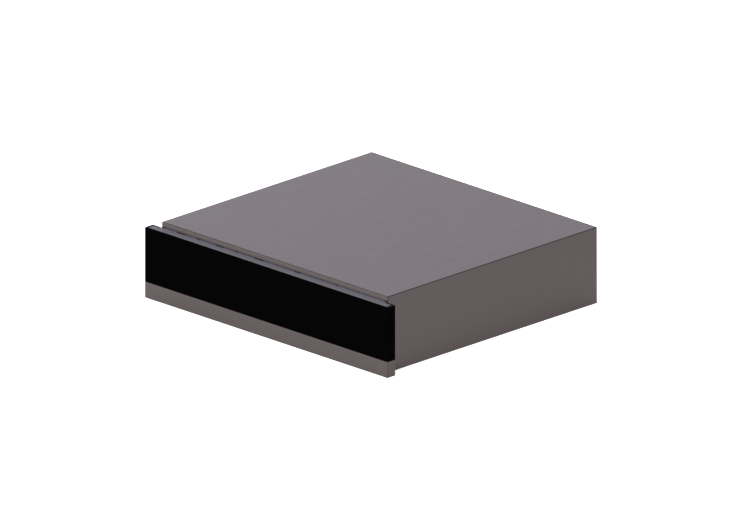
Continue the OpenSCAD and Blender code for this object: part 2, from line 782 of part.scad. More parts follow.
// Leads of the rear compartment, each from its tag or terminal to the board
module inner_wiring() color("#8c3b2e") seated() {
    // live and neutral, over the motor to the relays
    pole_z = block_mouth + 3;
    for (i = [0, 1]) {
        x0 = poles_x[i];
        x1 = relays_x[i] + relay_pin_x;
        z = fan_z + over_motor - 4 * i;
        wire([[x0, pole_y, pole_z], [x0, pole_y, z], [x1, pole_y, z], [x1, pole_y, seated_tip]], wire_r);
    }
    // earth, to the motor plate
    wire([[poles_x[2], pole_y, pole_z], [poles_x[2], pole_y, base_t + earth_rise],
          [poles_x[2], motor_back + seat_gap, base_t + earth_rise]], wire_r);
    // heater, from its left terminal to the second relay
    left_x = relays_x[1] - relay_pin_x;
    left_y = power_board_y - relay_d + 7.1;
    wire([[-terminal_x, terminal_tip + seat_gap, terminal_z], [-terminal_x, left_y, terminal_z],
          [left_x, left_y, terminal_z], [left_x, left_y, seated_tip]], wire_r);
    // heater, from its right terminal through the cut-out to the first relay
    tag_x = cutout_x - cutout_tag_x;
    tag_y = motor_back + 2 * cutout_h + seat_gap;
    bend_y = terminal_tip + 2;
    wire([[terminal_x, terminal_tip + seat_gap, terminal_z], [terminal_x, bend_y, terminal_z],
          [tag_x, bend_y, terminal_z], [tag_x, bend_y, sensor_z], [tag_x, tag_y, sensor_z]], wire_r);
    right_x = relays_x[0] - relay_pin_x;
    right_y = left_y + 4;
    right_z = fan_z + over_motor + 6;
    far_x = cutout_x + cutout_tag_x;
    wire([[far_x, tag_y, sensor_z], [far_x, right_y, sensor_z], [far_x, right_y, right_z],
          [right_x, right_y, right_z], [right_x, right_y, seated_tip]], wire_r);
    // motor and temperature probe, to the connectors
    plug_y = power_board_y - connector_d - seat_gap;
    coil_tag_y = stator_y - coil_wall / 2;
    probe_y = stator_y + 3;
    probe_z = connector_low + connector_h / 2;
    for (i = [0, 1]) {
        z = connector_low + 2.2 + 3.6 * i;
        x = connectors_x[3] + (1 - 2 * i) * connector_w / 4;
        wire([[-coil_x - seat_gap, coil_tag_y, z], [x, coil_tag_y, z], [x, plug_y, z]], wire_r);
        probe_x = -sensor_x + (2 * i - 1) * probe_pin_x;
        plug_x = connectors_x[2] + (2 * i - 1) * connector_w / 4;
        run_z = connector_low + 2 * connector_h - 4 * i;
        wire([[probe_x, motor_back + probe_tip + seat_gap, sensor_z], [probe_x, probe_y, sensor_z],
              [probe_x, probe_y, run_z], [plug_x, probe_y, run_z],
              [plug_x, probe_y, probe_z], [plug_x, plug_y, probe_z]], fine_wire_r);
    }
    // the drawer's lead, behind its clamp
    wire([[lead_x, clamp_y - seat_gap, lead_z], [lead_x, clamp_y + 5, lead_z],
          [lead_x, clamp_y + 5, connector_low - seat_gap]], wire_r);
}

// Curly lead between the drawer's crossbar and the clamp in the rear compartment
module lead_coil() color(rubber) seated()
    rod_y(lead_x, lead_z, lead_coil_r, crossbar_y + side_t + seat_gap, clamp_y - 2 * seat_gap);

// ---- runners ----

module on_wall(side) seated() scale([side, 1, 1]) translate([wall_in_x, 0, runner_z]) mirror([1, 0, 0])
    children();

module grooves(q) for (s = [-1, 1]) translate([ball_p, s * q]) circle(groove_r);

module outer_profile() difference() {
    union() {
        translate([0, -rail_h]) square([rail_t, 2 * rail_h]);
        for (s = [-1, 1]) translate([0, s > 0 ? rail_h - rail_t : -rail_h]) square([flange_p, rail_t]);
    }
    grooves(outer_ball_q);
}

module middle_profile() difference() {
    union() {
        translate([middle_p, -middle_q]) square([rail_t, 2 * middle_q]);
        for (s = [-1, 1]) translate([middle_p, s > 0 ? middle_q - middle_flange : -middle_q])
            square([flange_p - middle_p, middle_flange]);
    }
    grooves(outer_ball_q);
    grooves(inner_ball_q);
}

module inner_profile() difference() {
    union() {
        translate([runner_t - rail_t, -inner_q]) square([rail_t, 2 * inner_q]);
        for (s = [-1, 1]) translate([inner_p, s > 0 ? inner_q - inner_flange : -inner_q])
            square([runner_t - inner_p, inner_flange]);
    }
    grooves(inner_ball_q);
}

// A row of round holes through a runner's web, for rivets and for access to them
module web_holes(r) for (y = rivets_y) rod_x(y, 0, r, -cut, runner_t + cut);

module runner_outer(side) color(zinc) on_wall(side) difference() {
    along_y(runner_y, runner_y + runner_l) outer_profile();
    web_holes(rivet_hole_r);
}

module runner_middle(side) color(zinc) on_wall(side) difference() {
    along_y(runner_y, runner_y + runner_l) middle_profile();
    web_holes(access_hole_r);
}

module runner_inner(side) color(zinc) on_wall(side) difference() {
    along_y(runner_y, runner_y + runner_l) inner_profile();
    web_holes(rivet_hole_r);
}

// A bent strip with a hole for each ball, and the balls in it
module cage(side, q, p0) color(stainless) on_wall(side) {
    pitch = (cage_l - 2 * cage_end) / (balls - 1);
    difference() {
        along_y(cage_y, cage_y + cage_l) {
            translate([p0, -q - cage_band]) square([cage_t, 2 * (q + cage_band)]);
            for (s = [-1, 1]) translate([p0, s * q - cage_band]) square([cage_arm - p0, 2 * cage_band]);
        }
        for (i = [0:balls - 1], s = [-1, 1]) translate([ball_p, cage_y + cage_end + i * pitch, s * q])
            cylinder(r = ball_r + press_gap, h = 6 * cage_band, center = true);
    }
    for (i = [0:balls - 1], s = [-1, 1])
        translate([ball_p, cage_y + cage_end + i * pitch, s * q]) sphere(ball_r);
}

module runner_outer_left() runner_outer(-1);
module runner_outer_right() runner_outer(1);
module runner_middle_left() runner_middle(-1);
module runner_middle_right() runner_middle(1);
module runner_inner_left() runner_inner(-1);
module runner_inner_right() runner_inner(1);
module outer_cage_left() cage(-1, outer_ball_q, rail_t + seat_gap);
module outer_cage_right() cage(1, outer_ball_q, rail_t + seat_gap);
module inner_cage_left() cage(-1, inner_ball_q, middle_p + rail_t + body_gap);
module inner_cage_right() cage(1, inner_ball_q, middle_p + rail_t + body_gap);

// ---- push latch ----

pivot_x = 13;
pivot_behind = 8;
pivot_y = striker_y + pivot_behind;
pivot_r = 1.6;
pivot_h = 4.8;
latch_t = 1.5;
latch_z = floor_z + latch_t;
latch_gap = 0.3;
latch_left = -18;
latch_rim = 2.5;
latch_rim_h = 5;
striker_r = 2;
striker_neck_r = 1.6;
hook_t = 3.2;
hook_w = 5;
hook_reach = 14;
hook_beak_w = 2.6;
hook_beak_l = 16;
hook_hub_r = 4;
hook_tail_w = 6;
hook_tail_h = 3;
hook_tail_in = 1;
hook_edge = 3;

released_angle = 30;
ejector_x = 34;
ejector_rise = 3.8;
ejector_z = floor_z + ejector_rise;
ejector_r = 2.6;
ejector_l = 22.3;
guide_w = 5;
guide_wall = 1;
guide_fore = 12;
guide_aft = 16;
guide_end_t = 2;
guide_front = striker_y - guide_fore;
guide_back = striker_y + guide_aft;
guide_end = guide_back - guide_end_t;
tab_ahead = 21.5;
tab_y = striker_y - tab_ahead;
tab_gap = 1.4;
ejector_tip = tab_y + side_t + buffer_clear;
spring_wire_r = 0.45;
spring_pitch = 1.45;

// One moulding: the hook's bed with its pivot pin, and the ejector's blind guide
module latch_body() color(dark_plastic) seated() {
    right = ejector_x + guide_w + guide_wall;
    translate([pivot_x, pivot_y, latch_z]) cylinder(r = pivot_r, h = pivot_h);
    difference() {
        union() {
            block([latch_left, guide_front, floor_z], [right, guide_back, latch_z]);
            block([latch_left, guide_front, latch_z],
                  [latch_left + latch_rim, guide_back, latch_z + latch_rim_h]);
            block([latch_left, guide_back - latch_rim, latch_z], [right, guide_back, latch_z + latch_rim_h]);
            block([ejector_x - guide_w, guide_front, latch_z],
                  [ejector_x + guide_w, guide_back, ejector_z + ejector_r + guide_wall]);
        }
        rod_y(ejector_x, ejector_z, ejector_r + pin_gap, guide_front - cut, guide_end);
    }
}

// The hook as a push leaves it, swung clear of the striker
module latch_hook() color(white_plastic) seated()
    translate([pivot_x, pivot_y, latch_z + latch_gap]) rotate(released_angle) difference() {
        linear_extrude(hook_t) {
            circle(hook_hub_r);
            translate([hook_edge - hook_w, -hook_reach]) square([hook_w, hook_reach]);
            translate([-hook_beak_l, -hook_reach]) square([hook_beak_l + hook_edge, hook_beak_w]);
            translate([-hook_beak_l, -hook_reach + hook_beak_w / 2]) circle(hook_beak_w / 2);
            translate([-hook_tail_in, 0]) square([hook_tail_w, hook_tail_h]);
        }
        translate([0, 0, -cut]) cylinder(r = pivot_r + pin_gap, h = hook_t + 2 * cut);
    }

// Plunger that pushes the crossbar's tab when the latch lets go
module ejector_plunger() color(white_plastic) seated()
    rod_y(ejector_x, ejector_z, ejector_r, ejector_tip, ejector_tip + ejector_l);

// The ejector's spring, drawn turn by turn as rings
module ejector_spring() color(stainless) seated() {
    first = ejector_tip + ejector_l + spring_wire_r + press_gap;
    turns = floor((guide_end - spring_wire_r - first) / spring_pitch);
    for (i = [0:turns]) translate([ejector_x, first + i * spring_pitch, ejector_z]) rotate([90, 0, 0])
        rotate_extrude() translate([ejector_r - 3 * spring_wire_r / 2, 0]) circle(spring_wire_r);
}

module latch_striker() color(stainless) seated() {
    low = latch_z + latch_gap;
    translate([0, striker_y, low]) cylinder(r = striker_r, h = carriage_z - low);
    translate([0, striker_y, carriage_z + side_t]) cylinder(r = 2 * striker_r, h = rivet_head);
    translate([0, striker_y, carriage_z]) cylinder(r = striker_neck_r, h = side_t);
}

// ---- drawer ----

crossbar_top = carriage_z + crossbar_h;
louvre_low = crossbar_top + louvre_rise;
louvre_high = rim_z - louvre_margin;
flange_out = 11;
flange_end = 4;
rivet_head = 1.2;
front_screw_l = 8;
front_screw_in = 5.6;
screw_x = drawer_x + front_screw_in;
front_screws_z = [0.27 * case_h, 0.68 * case_h];

module drawer_side() color(stainless) seated() difference() {
    union() {
        block([side_in_x, -front_gap, carriage_z], [drawer_x, crossbar_y + side_t, rim_z - tray_t]);
        block([side_in_x - shelf_w, tray_front - sheet_gap, carriage_z],
              [side_in_x, crossbar_y, carriage_z + side_t]);
        block([drawer_x, -front_gap, carriage_z + flange_end],
              [drawer_x + flange_out, -front_gap + side_t, rim_z - flange_end]);
    }
    for (y = rivets_y) rod_x(y, runner_z, rivet_hole_r, side_in_x - cut, drawer_x + cut);
    for (z = front_screws_z) rod_y(screw_x, z, screw_r + screw_gap, -front_gap - cut, side_t);
}

module drawer_side_left() mirror([1, 0, 0]) drawer_side();
module drawer_side_right() drawer_side();

tray_w = 2 * tray_x;
tray_d = tray_back - tray_front;
tray_mid = (tray_back + tray_front) / 2;
rim_side_more = 1;
rim_side = rim_out + rim_side_more;

// Deep-drawn stainless tray with a flat rim, and louvres through its back wall
module tray() color(stainless) seated() difference() {
    union() {
        translate([0, tray_mid, tray_z]) basin(tray_w, tray_d, rim_z - tray_z, tray_r, tray_foot_r);
        translate([0, tray_mid, rim_z - tray_t]) linear_extrude(tray_t)
            rounded(tray_w + 2 * rim_side, tray_d + 2 * rim_out - 2 * seat_gap, tray_r);
    }
    translate([0, tray_mid, tray_z + tray_t])
        basin(tray_w - 2 * tray_t, tray_d - 2 * tray_t, case_h, tray_r - tray_t, tray_foot_r - tray_t);
    for (x = concat(outlet_x, intake_x))
        slot_y(x, louvre_low, louvre_high, louvre_w, tray_back - tray_t - cut, tray_back + 2 * rim_out);
}

mat_inset = 12;

module anti_slip_mat() color(rubber) seated() translate([0, tray_mid, tray_z + tray_t])
    linear_extrude(mat_t) rounded(tray_w - 2 * mat_inset, tray_d - 2 * mat_inset, tray_r - tray_t);

module crossbar() color(stainless) seated() difference() {
    union() {
        block([-side_in_x, crossbar_y, carriage_z], [side_in_x, crossbar_y + side_t, crossbar_top]);
        block([-side_in_x + shelf_w, tab_y, carriage_z],
              [side_in_x - shelf_w, crossbar_y, carriage_z + side_t]);
        // tab that the ejector pushes
        block([ejector_x - guide_w, tab_y, floor_z + tab_gap],
              [ejector_x + guide_w, tab_y + side_t, carriage_z]);
    }
    translate([0, striker_y, carriage_z - cut])
        cylinder(r = striker_neck_r + pin_gap, h = side_t + 2 * cut);
    rod_y(lead_x, control_lead_z, control_lead_r + press_gap, crossbar_y - cut, crossbar_y + side_t + cut);
}

buffer_in = 50;

module stop_buffers() color(rubber) seated() both()
    rod_y(side_in_x - buffer_in, carriage_z + crossbar_h / 2, buffer_r,
          crossbar_y + side_t, baffle_y - buffer_clear);

// ---- drawer front ----

module glass_panel() color(black) seated()
    block([-front_w / 2, front_y, trim_top], [front_w / 2, front_y + glass_t, strip_z]);

// Black-coated shell bonded to the back of the glass
module front_shell() color(black) seated() {
    glass_back = front_y + glass_t;
    block([-front_w / 2, glass_back, trim_top], [front_w / 2, glass_back + trim_t, strip_under]);
    both() {
        block([front_w / 2 - trim_t, glass_back + trim_t, trim_top], [front_w / 2, -front_gap, strip_under]);
        block([front_w / 2 - trim_t, glass_back, strip_under], [front_w / 2, -front_gap, strip_z]);
    }
}

// Stainless trim along the front's foot: a folded box, open at the back
module trim_strip() color(steel) seated() difference() {
    block([-front_w / 2, front_y, front_lift], [front_w / 2, -front_gap, trim_top]);
    block([-front_w / 2 + trim_t, front_y + trim_t, front_lift + trim_t],
          [front_w / 2 - trim_t, -front_gap + cut, trim_top - trim_t]);
    block([-front_w / 2 + trim_t, panel_y - press_gap, front_lift + trim_t],
          [front_w / 2 - trim_t, -front_gap + cut, trim_top + cut]);
}

panel_x = front_w / 2 - trim_t - press_gap;
panel_t = 1;
panel_y = -front_gap - panel_t;

// Steel panel that closes the front's back and carries the drawer's sides
module inner_panel() color(stainless) seated() difference() {
    block([-panel_x, panel_y, front_lift + trim_t + press_gap], [panel_x, -front_gap, strip_under]);
    both() for (z = front_screws_z) rod_y(screw_x, z, screw_r + screw_gap, panel_y - cut, cut);
}

flat_head = 0.5;

// Screws through the sides' front flanges into the inner panel
module front_screws() color(zinc) seated() both() for (z = front_screws_z)
    translate([screw_x, -front_gap + side_t, z]) {
        rod_y(0, 0, screw_r, -front_screw_l, 0);
        rod_y(0, 0, 2 * screw_r, 0, flat_head);
    }

strip_x = front_w / 2 - trim_t - seat_gap;
strip_y = front_y + glass_t + press_gap;

// Control strip: the top of the drawer front, which runs on under the casing's lip
module control_strip() color(strip_grey) seated() difference() {
    union() {
        block([-strip_x, strip_y, strip_under], [strip_x, -front_gap, strip_z]);
        block([-wall_in_x + strip_side, -front_gap, strip_under],
              [wall_in_x - strip_side, housing_y, strip_z]);
        for (x = studs_x) translate([x, housing_y - stud_in, board_z + board_t])
            cylinder(r = stud_r, h = strip_under - board_z - board_t);
    }
    for (x = lights_x) translate([x, lights_y, strip_under - cut])
        cylinder(r = light_r + pin_gap, h = strip_t + 2 * cut);
}

strip_side = 1.4;
light_r = 1.1;
pad_r = 5;
stud_r = 3;
stud_in = 7;
control_board_end = 20;
board_left = fields_x[0] - control_board_end;
board_right = lights_x[3] + control_board_end;
studs_x = concat([board_left + 2 * stud_r],
                 [for (i = [0:2]) (fields_x[i] + fields_x[i + 1]) / 2],
                 [(fields_x[3] + lights_x[3]) / 2, board_right - 2 * stud_r]);

module control_housing() color(stainless) seated() difference() {
    block([-housing_x, -front_gap, carriage_z], [housing_x, housing_y, strip_under]);
    block([-housing_x + housing_t, -front_gap - cut, carriage_z + housing_t],
          [housing_x - housing_t, housing_y - housing_t, strip_under + cut]);
    rod_y(lead_x, control_lead_z, control_lead_r + body_gap, housing_y - 2 * housing_t, housing_y + cut);
}

module control_board() color(board_green) seated()
    block([board_left, -front_gap + seat_gap, board_z],
          [board_right, housing_y - 2.5 * housing_t, board_z + board_t]);

module touch_pads() color(rubber) seated() for (x = fields_x)
    translate([x, fields_y, board_z + board_t]) cylinder(r = pad_r, h = strip_under - board_z - board_t);

module indicator_lenses() color("#d8d0c0") seated() for (x = lights_x)
    translate([x, lights_y, board_z + board_t]) cylinder(r = light_r, h = strip_z - board_z - board_t);

control_lead_r = 1.5;
control_lead_z = tray_z - control_lead_r - seat_gap;

// Lead from the control board, down inside the housing and back under the tray to the crossbar
module control_lead() color(rubber) seated()
    wire([[lead_x, fields_y, board_z], [lead_x, fields_y, control_lead_z],
          [lead_x, crossbar_y + side_t + seat_gap / 2, control_lead_z]], control_lead_r);

// ---- nodes ----

cover();
base_pan();
back_panel();
front_frame();
side_wall_left();
side_wall_right();
ceiling_plate();
base_liner();
top_insulation();
base_insulation();
side_insulation();
air_baffle();
motor_plate();
heater_element();
motor_stator();
motor_coil();
motor_brackets();
motor_bolts();
temperature_sensors();
board_tray();
power_board();
terminal_block();
cable_bush();
runner_outer_left();
runner_outer_right();
latch_body();
back_screws();
inner_wiring();
lead_coil();
fan_wheel();
fan_shaft();
runner_middle_left();
runner_middle_right();
outer_cage_left();
outer_cage_right();
inner_cage_left();
inner_cage_right();
latch_hook();
ejector_plunger();
ejector_spring();
runner_inner_left();
runner_inner_right();
drawer_side_left();
drawer_side_right();
tray();
anti_slip_mat();
crossbar();
stop_buffers();
latch_striker();
glass_panel();
front_shell();
trim_strip();
inner_panel();
control_strip();
control_housing();
control_board();
touch_pads();
indicator_lenses();
front_screws();
control_lead();
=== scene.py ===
import math

import bmesh
import bpy
from mathutils import Matrix, Vector


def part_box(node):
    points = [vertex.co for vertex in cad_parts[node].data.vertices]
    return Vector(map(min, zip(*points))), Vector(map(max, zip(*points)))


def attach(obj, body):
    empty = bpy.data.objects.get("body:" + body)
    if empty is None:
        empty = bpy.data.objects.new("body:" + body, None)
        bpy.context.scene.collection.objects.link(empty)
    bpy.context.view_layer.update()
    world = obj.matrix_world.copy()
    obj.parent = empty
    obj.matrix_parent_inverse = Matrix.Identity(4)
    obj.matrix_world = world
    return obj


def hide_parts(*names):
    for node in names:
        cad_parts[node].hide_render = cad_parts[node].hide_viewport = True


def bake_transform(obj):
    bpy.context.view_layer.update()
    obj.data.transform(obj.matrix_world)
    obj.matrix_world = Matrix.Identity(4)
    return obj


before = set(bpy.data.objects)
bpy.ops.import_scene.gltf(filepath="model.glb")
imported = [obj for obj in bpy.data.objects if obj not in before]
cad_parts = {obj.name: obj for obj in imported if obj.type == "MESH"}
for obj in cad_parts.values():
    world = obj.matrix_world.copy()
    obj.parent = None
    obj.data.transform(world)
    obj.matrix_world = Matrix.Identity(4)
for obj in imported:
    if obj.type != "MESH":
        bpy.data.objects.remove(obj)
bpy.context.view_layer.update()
mm = 0.001

# ---- The photograph's view ----
# A parallel projection from 45 degrees to the right and 19.47 degrees up, in which every horizontal edge
# has a slope of one in three. The front's lower right corner lies at the named pixel of the picture.

picture_pixels = (750, 527)
corner_pixel = (387.3, 378.5)
picture_width = 1301.4 * mm
metres_per_pixel = picture_width / picture_pixels[0]
camera_distance = 3
azimuth = math.radians(45)
elevation = math.asin(1 / 3)
to_right = Vector((math.cos(azimuth), math.sin(azimuth), 0))
to_camera = Vector((math.sin(azimuth) * math.cos(elevation), -math.cos(azimuth) * math.cos(elevation),
                    math.sin(elevation)))
to_top = to_camera.cross(to_right)
glass_low, glass_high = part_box("glass_panel")
front_corner = Vector((glass_high.x, glass_low.y, 0))
corner_right, corner_down = (at - size / 2 for at, size in zip(corner_pixel, picture_pixels))
aim = front_corner - corner_right * metres_per_pixel * to_right + corner_down * metres_per_pixel * to_top
lens = bpy.data.cameras.new("camera")
lens.type = "ORTHO"
lens.ortho_scale = picture_width
camera = bpy.data.objects.new("camera", lens)
camera.location = aim + camera_distance * to_camera
camera.rotation_mode = "QUATERNION"
camera.rotation_quaternion = to_camera.to_track_quat("Z", "Y")
bpy.context.scene.collection.objects.link(camera)
bpy.context.scene.camera = camera

# ---- Studio ----
# A white floor, faintly lit from below like a product photographer's table, under an even white sky. Two
# wide soft boxes light the object: one high on the left for the top, and a stronger one in front, which
# metal doesn't mirror.


def linear(colour):
    """An sRGB hex colour as Blender's linear RGBA."""
    channels = [int(colour[i:i + 2], 16) / 255 for i in (1, 3, 5)]
    return tuple(c / 12.92 if c <= 0.04045 else ((c + 0.055) / 1.055) ** 2.4 for c in channels) + (1,)


def add(tree, kind, inputs=None, **settings):
    """One new node: settings are its properties, inputs are values for its sockets or what feeds them."""
    node = tree.nodes.new(kind)
    for name, value in settings.items():
        setattr(node, name, value)
    for socket, value in (inputs or {}).items():
        if isinstance(value, bpy.types.NodeSocket):
            tree.links.new(value, node.inputs[socket])
        else:
            node.inputs[socket].default_value = value
    return node


def new_material(name, colour, metallic, roughness, ior=1.5, specular=0.5):
    """A material with its shader set, its tree, and the object's own coordinates."""
    made = bpy.data.materials.new(name)
    made.use_nodes = True
    made.diffuse_color = linear(colour)
    shader = made.node_tree.nodes["Principled BSDF"]
    shader.inputs["Base Color"].default_value = linear(colour)
    shader.inputs["Metallic"].default_value = metallic
    shader.inputs["Roughness"].default_value = roughness
    shader.inputs["IOR"].default_value = ior
    shader.inputs["Specular IOR Level"].default_value = specular
    place = add(made.node_tree, "ShaderNodeTexCoord").outputs["Object"]
    return made, made.node_tree, shader, place


def vary(tree, shader, pattern, dark, light, rough=None, bump=0, depth=0.1 * mm):
    """Lets a 0 to 1 pattern run the colour from dark to light, and roughness and relief with it."""
    tint = add(tree, "ShaderNodeMix", {0: pattern, 6: linear(dark), 7: linear(light)}, data_type="RGBA")
    tree.links.new(tint.outputs[2], shader.inputs["Base Color"])
    if rough:
        spread = add(tree, "ShaderNodeMapRange",
                     {"Value": pattern, "To Min": rough[0], "To Max": rough[1]})
        tree.links.new(spread.outputs["Result"], shader.inputs["Roughness"])
    if bump:
        relief = add(tree, "ShaderNodeBump", {"Height": pattern, "Strength": bump, "Distance": depth})
        tree.links.new(relief.outputs["Normal"], shader.inputs["Normal"])


def cells(width):
    """The scale at which the cells of a noise pattern are this wide."""
    return 1 / width


def activate(piece=None):
    """Back in object mode, with only this piece selected, or nothing."""
    if bpy.context.mode != "OBJECT":
        bpy.ops.object.mode_set(mode="OBJECT")
    bpy.ops.object.select_all(action="DESELECT")
    if piece:
        piece.select_set(True)
        bpy.context.view_layer.objects.active = piece


sky_strength = 0.8
world = bpy.data.worlds.new("studio_sky")
world.use_nodes = True
world.node_tree.nodes["Background"].inputs["Color"].default_value = linear("#ffffff")
world.node_tree.nodes["Background"].inputs["Strength"].default_value = sky_strength
bpy.context.scene.world = world
bpy.context.scene.view_settings.view_transform = "Standard"

for name, spot, size, power in (("high_box", (-2, -1.1, 5.4), 5, 120),
                                ("front_box", (1.8, -4.8, 2.6), 3.2, 300)):
    lamp = bpy.data.lights.new(name, "AREA")
    lamp.size = size
    lamp.energy = power
    box = bpy.data.objects.new(name, lamp)
    box.location = spot
    box.rotation_mode = "QUATERNION"
    box.rotation_quaternion = Vector(spot).to_track_quat("Z", "Y")
    box.visible_glossy = name == "high_box"
    bpy.context.scene.collection.objects.link(box)

floor_w = 24
floor_gap = 0.05 * mm
floor_glow = 0.6
activate()
bpy.ops.mesh.primitive_plane_add(size=floor_w, location=(0, 0, -floor_gap))
floor = bpy.context.object
floor.name = "studio_floor"
# Matt opal acrylic, lit from below: it stays nearly white in the shadows.
opal, tree, shader, place = new_material("matt_opal_acrylic", "#f6f6f6", 0, 0.9, specular=0.1)
haze = add(tree, "ShaderNodeTexNoise", {"Vector": place, "Scale": cells(167 * mm), "Detail": 3})
vary(tree, shader, haze.outputs["Fac"], "#f5f5f5", "#f8f8f8")
shader.inputs["Emission Color"].default_value = linear("#ffffff")
shader.inputs["Emission Strength"].default_value = floor_glow
floor.data.materials.append(opal)

# ---- Casing cover ----
# One sheet of brushed stainless steel, 0.8 mm thick, folded down at both sides and open below, in front
# and behind. It is spot-welded to the front frame, and its rear edge stands proud of the back panel.


def sheet_steel(name, across, scratch_w, scratch_l, dark, light, rough, metallic=1):
    """Brushed stainless sheet, whose scratches have this width across the named axis and this length."""
    made, tree, shader, place = new_material(name, light, metallic, rough[0])
    stretch = [cells(scratch_w if axis == across else scratch_l) for axis in "xyz"]
    long_marks = add(tree, "ShaderNodeMapping", {"Vector": place, "Scale": stretch})
    scratches = add(tree, "ShaderNodeTexNoise", {"Vector": long_marks.outputs[0], "Scale": 1, "Detail": 5,
                                                 "Roughness": 0.6})
    vary(tree, shader, scratches.outputs["Fac"], dark, light, rough, bump=0.05)
    return made


def pick(piece, kind, test):
    """In edit mode, selects the faces or edges whose middle and normal, or direction, pass a test."""
    activate(piece)
    bpy.ops.object.mode_set(mode="EDIT")
    bpy.ops.mesh.select_mode(type=kind)
    bpy.ops.mesh.select_all(action="DESELECT")
    mesh = bmesh.from_edit_mesh(piece.data)
    if kind == "FACE":
        for face in mesh.faces:
            face.select_set(test(face.calc_center_median(), face.normal))
    else:
        for edge in mesh.edges:
            a, b = (v.co for v in edge.verts)
            edge.select_set(test((a + b) / 2, (b - a).normalized()))
    bmesh.update_edit_mesh(piece.data)


def apply(piece, kind, **settings):
    """Adds a modifier with its settings and applies it."""
    activate(piece)
    modifier = piece.modifiers.new(kind.lower(), kind)
    for name, value in settings.items():
        setattr(modifier, name, value)
    bpy.ops.object.modifier_apply(modifier=modifier.name)


def merge(piece, gap=0.002 * mm):
    """Makes one of points that lie on the same spot."""
    activate(piece)
    bpy.ops.object.mode_set(mode="EDIT")
    bpy.ops.mesh.select_all(action="SELECT")
    bpy.ops.mesh.remove_doubles(threshold=gap)
    activate(piece)


def ease(piece, width, segments=2, angle=30):
    """Breaks every edge sharper than the angle, and shades what is left of it smooth."""
    activate(piece)
    bpy.ops.object.shade_smooth_by_angle(angle=math.radians(angle))
    apply(piece, "BEVEL", width=width, segments=segments, limit_method="ANGLE",
          angle_limit=math.radians(angle), harden_normals=True)
    merge(piece)


def start_box(name, low, high):
    """A cube between two corners, with its place in its mesh."""
    activate()
    low, high = Vector(low), Vector(high)
    bpy.ops.mesh.primitive_cube_add(size=1, location=(low + high) / 2, scale=high - low)
    piece = bpy.context.object
    piece.name = piece.data.name = name
    bpy.ops.object.transform_apply(location=True, rotation=True, scale=True)
    return piece


def finish(piece, body, slot, *materials, replaces=()):
    """Gives a piece its materials, its body and the nodes that it stands for. The slot is not used."""
    for material in materials:
        piece.data.materials.append(material)
    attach(piece, body)
    if replaces:
        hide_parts(*replaces)


def near(value, level, slack=0.05 * mm):
    """Whether a coordinate lies on a level."""
    return abs(value - level) < slack


def by_tilt(face):
    """0 for a face that doesn't look sideways, 1 for one that does, which takes painted shade, and 2 for
    the fold between them, which takes a painted shade line.
    """
    sideways = abs(face.normal.x)
    return 0 if sideways < 0.1 else 1 if sideways > 0.97 else 2


# The real scratches lie 0.1 to 0.3 mm apart. They are drawn at 2 to 3 mm, so that they show.
# Brushed stainless, grain along the depth: the top looks finely ruled from front to back. Its colour is
# painted lighter than the sides', as painted light on the top.
lit_brushed_top = sheet_steel("brushed_stainless_top_painted_light", "x", 3.03 * mm, 71.4 * mm, "#6b646c", "#8f868e",
                          (0.34, 0.42))
# The same sheet where it is folded down, with the ruling upright: its colour is painted darker than the
# top's, as painted shade on the sides.
shaded_brushed_side = sheet_steel("brushed_stainless_side_painted_shade", "y", 2.381 * mm, 200 * mm, "#4a4243", "#4e4848",
                           (0.36, 0.44))
# Where a sheet is folded or its edge is cut, the line is painted darker: a painted shade line along the
# fold or the edge.
painted_edge_shade = sheet_steel("stainless_edge_painted_shade", "x", 16.67 * mm, 16.67 * mm, "#373232", "#433d3d",
                     (0.45, 0.55))

sheet_t = 0.8 * mm
fold_r = 1.5 * mm
rear_shade_w = 2.2 * mm
low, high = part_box("cover")
case_half_w = high.x
cover = start_box("casing_cover", low, high)
pick(cover, "FACE", lambda middle, normal: normal.z < -0.5 or abs(normal.y) > 0.5)
bpy.ops.mesh.delete(type="FACE")
pick(cover, "EDGE", lambda middle, along: near(middle.z, high.z) and near(abs(middle.x), high.x))
bpy.ops.mesh.bevel(offset=fold_r, segments=8, affect="EDGES")
apply(cover, "SOLIDIFY", thickness=sheet_t, offset=-1, use_even_offset=True)
ease(cover, 0.15 * mm, angle=40)
finish(cover, "casing", "brushed_sheet", lit_brushed_top, shaded_brushed_side, painted_edge_shade, replaces=["cover"])
# the top's rear edge gets the same painted shade line as the folds
pick(cover, "FACE", lambda middle, normal: abs(normal.z) > 0.9)
bpy.ops.mesh.bisect(plane_co=(0, high.y - rear_shade_w, 0), plane_no=(0, 1, 0))
activate()
# the top takes the painted light, the sides the painted shade, and the folds and the rear edge a painted
# shade line
for face in cover.data.polygons:
    on_rear_edge = by_tilt(face) == 0 and face.center.y > high.y - rear_shade_w
    face.material_index = 2 if on_rear_edge else by_tilt(face)

# ---- Front frame ----
# The casing's face: a stamped stainless plate whose upper edge is folded back as a lip over the drawer,
# whose sill lies under it, and whose four lugs are screwed to the cabinet.


def eased_copy(node, name, width, segments=2):
    """A copy of a node's solid with its edges broken, which takes the node's place."""
    piece = bpy.data.objects.new(name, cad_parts[node].data.copy())
    piece.data.name = name
    piece.data.materials.clear()
    bpy.context.scene.collection.objects.link(piece)
    activate(piece)
    bpy.ops.mesh.customdata_custom_splitnormals_clear()
    bpy.ops.object.mode_set(mode="EDIT")
    bpy.ops.mesh.select_all(action="SELECT")
    bpy.ops.mesh.remove_doubles(threshold=0.005 * mm)
    bpy.ops.mesh.dissolve_limited(angle_limit=math.radians(0.5))
    ease(piece, width, segments)
    return piece


# Brushed stainless, grain along the width, as on the lip and the trim. Its colour is painted darker than
# the top's, as painted shade on the faces that look forward.
shaded_brushed_front = sheet_steel("brushed_stainless_front_painted_shade", "z", 2.381 * mm, 200 * mm, "#4d4646", "#544d4d",
                            (0.34, 0.42))
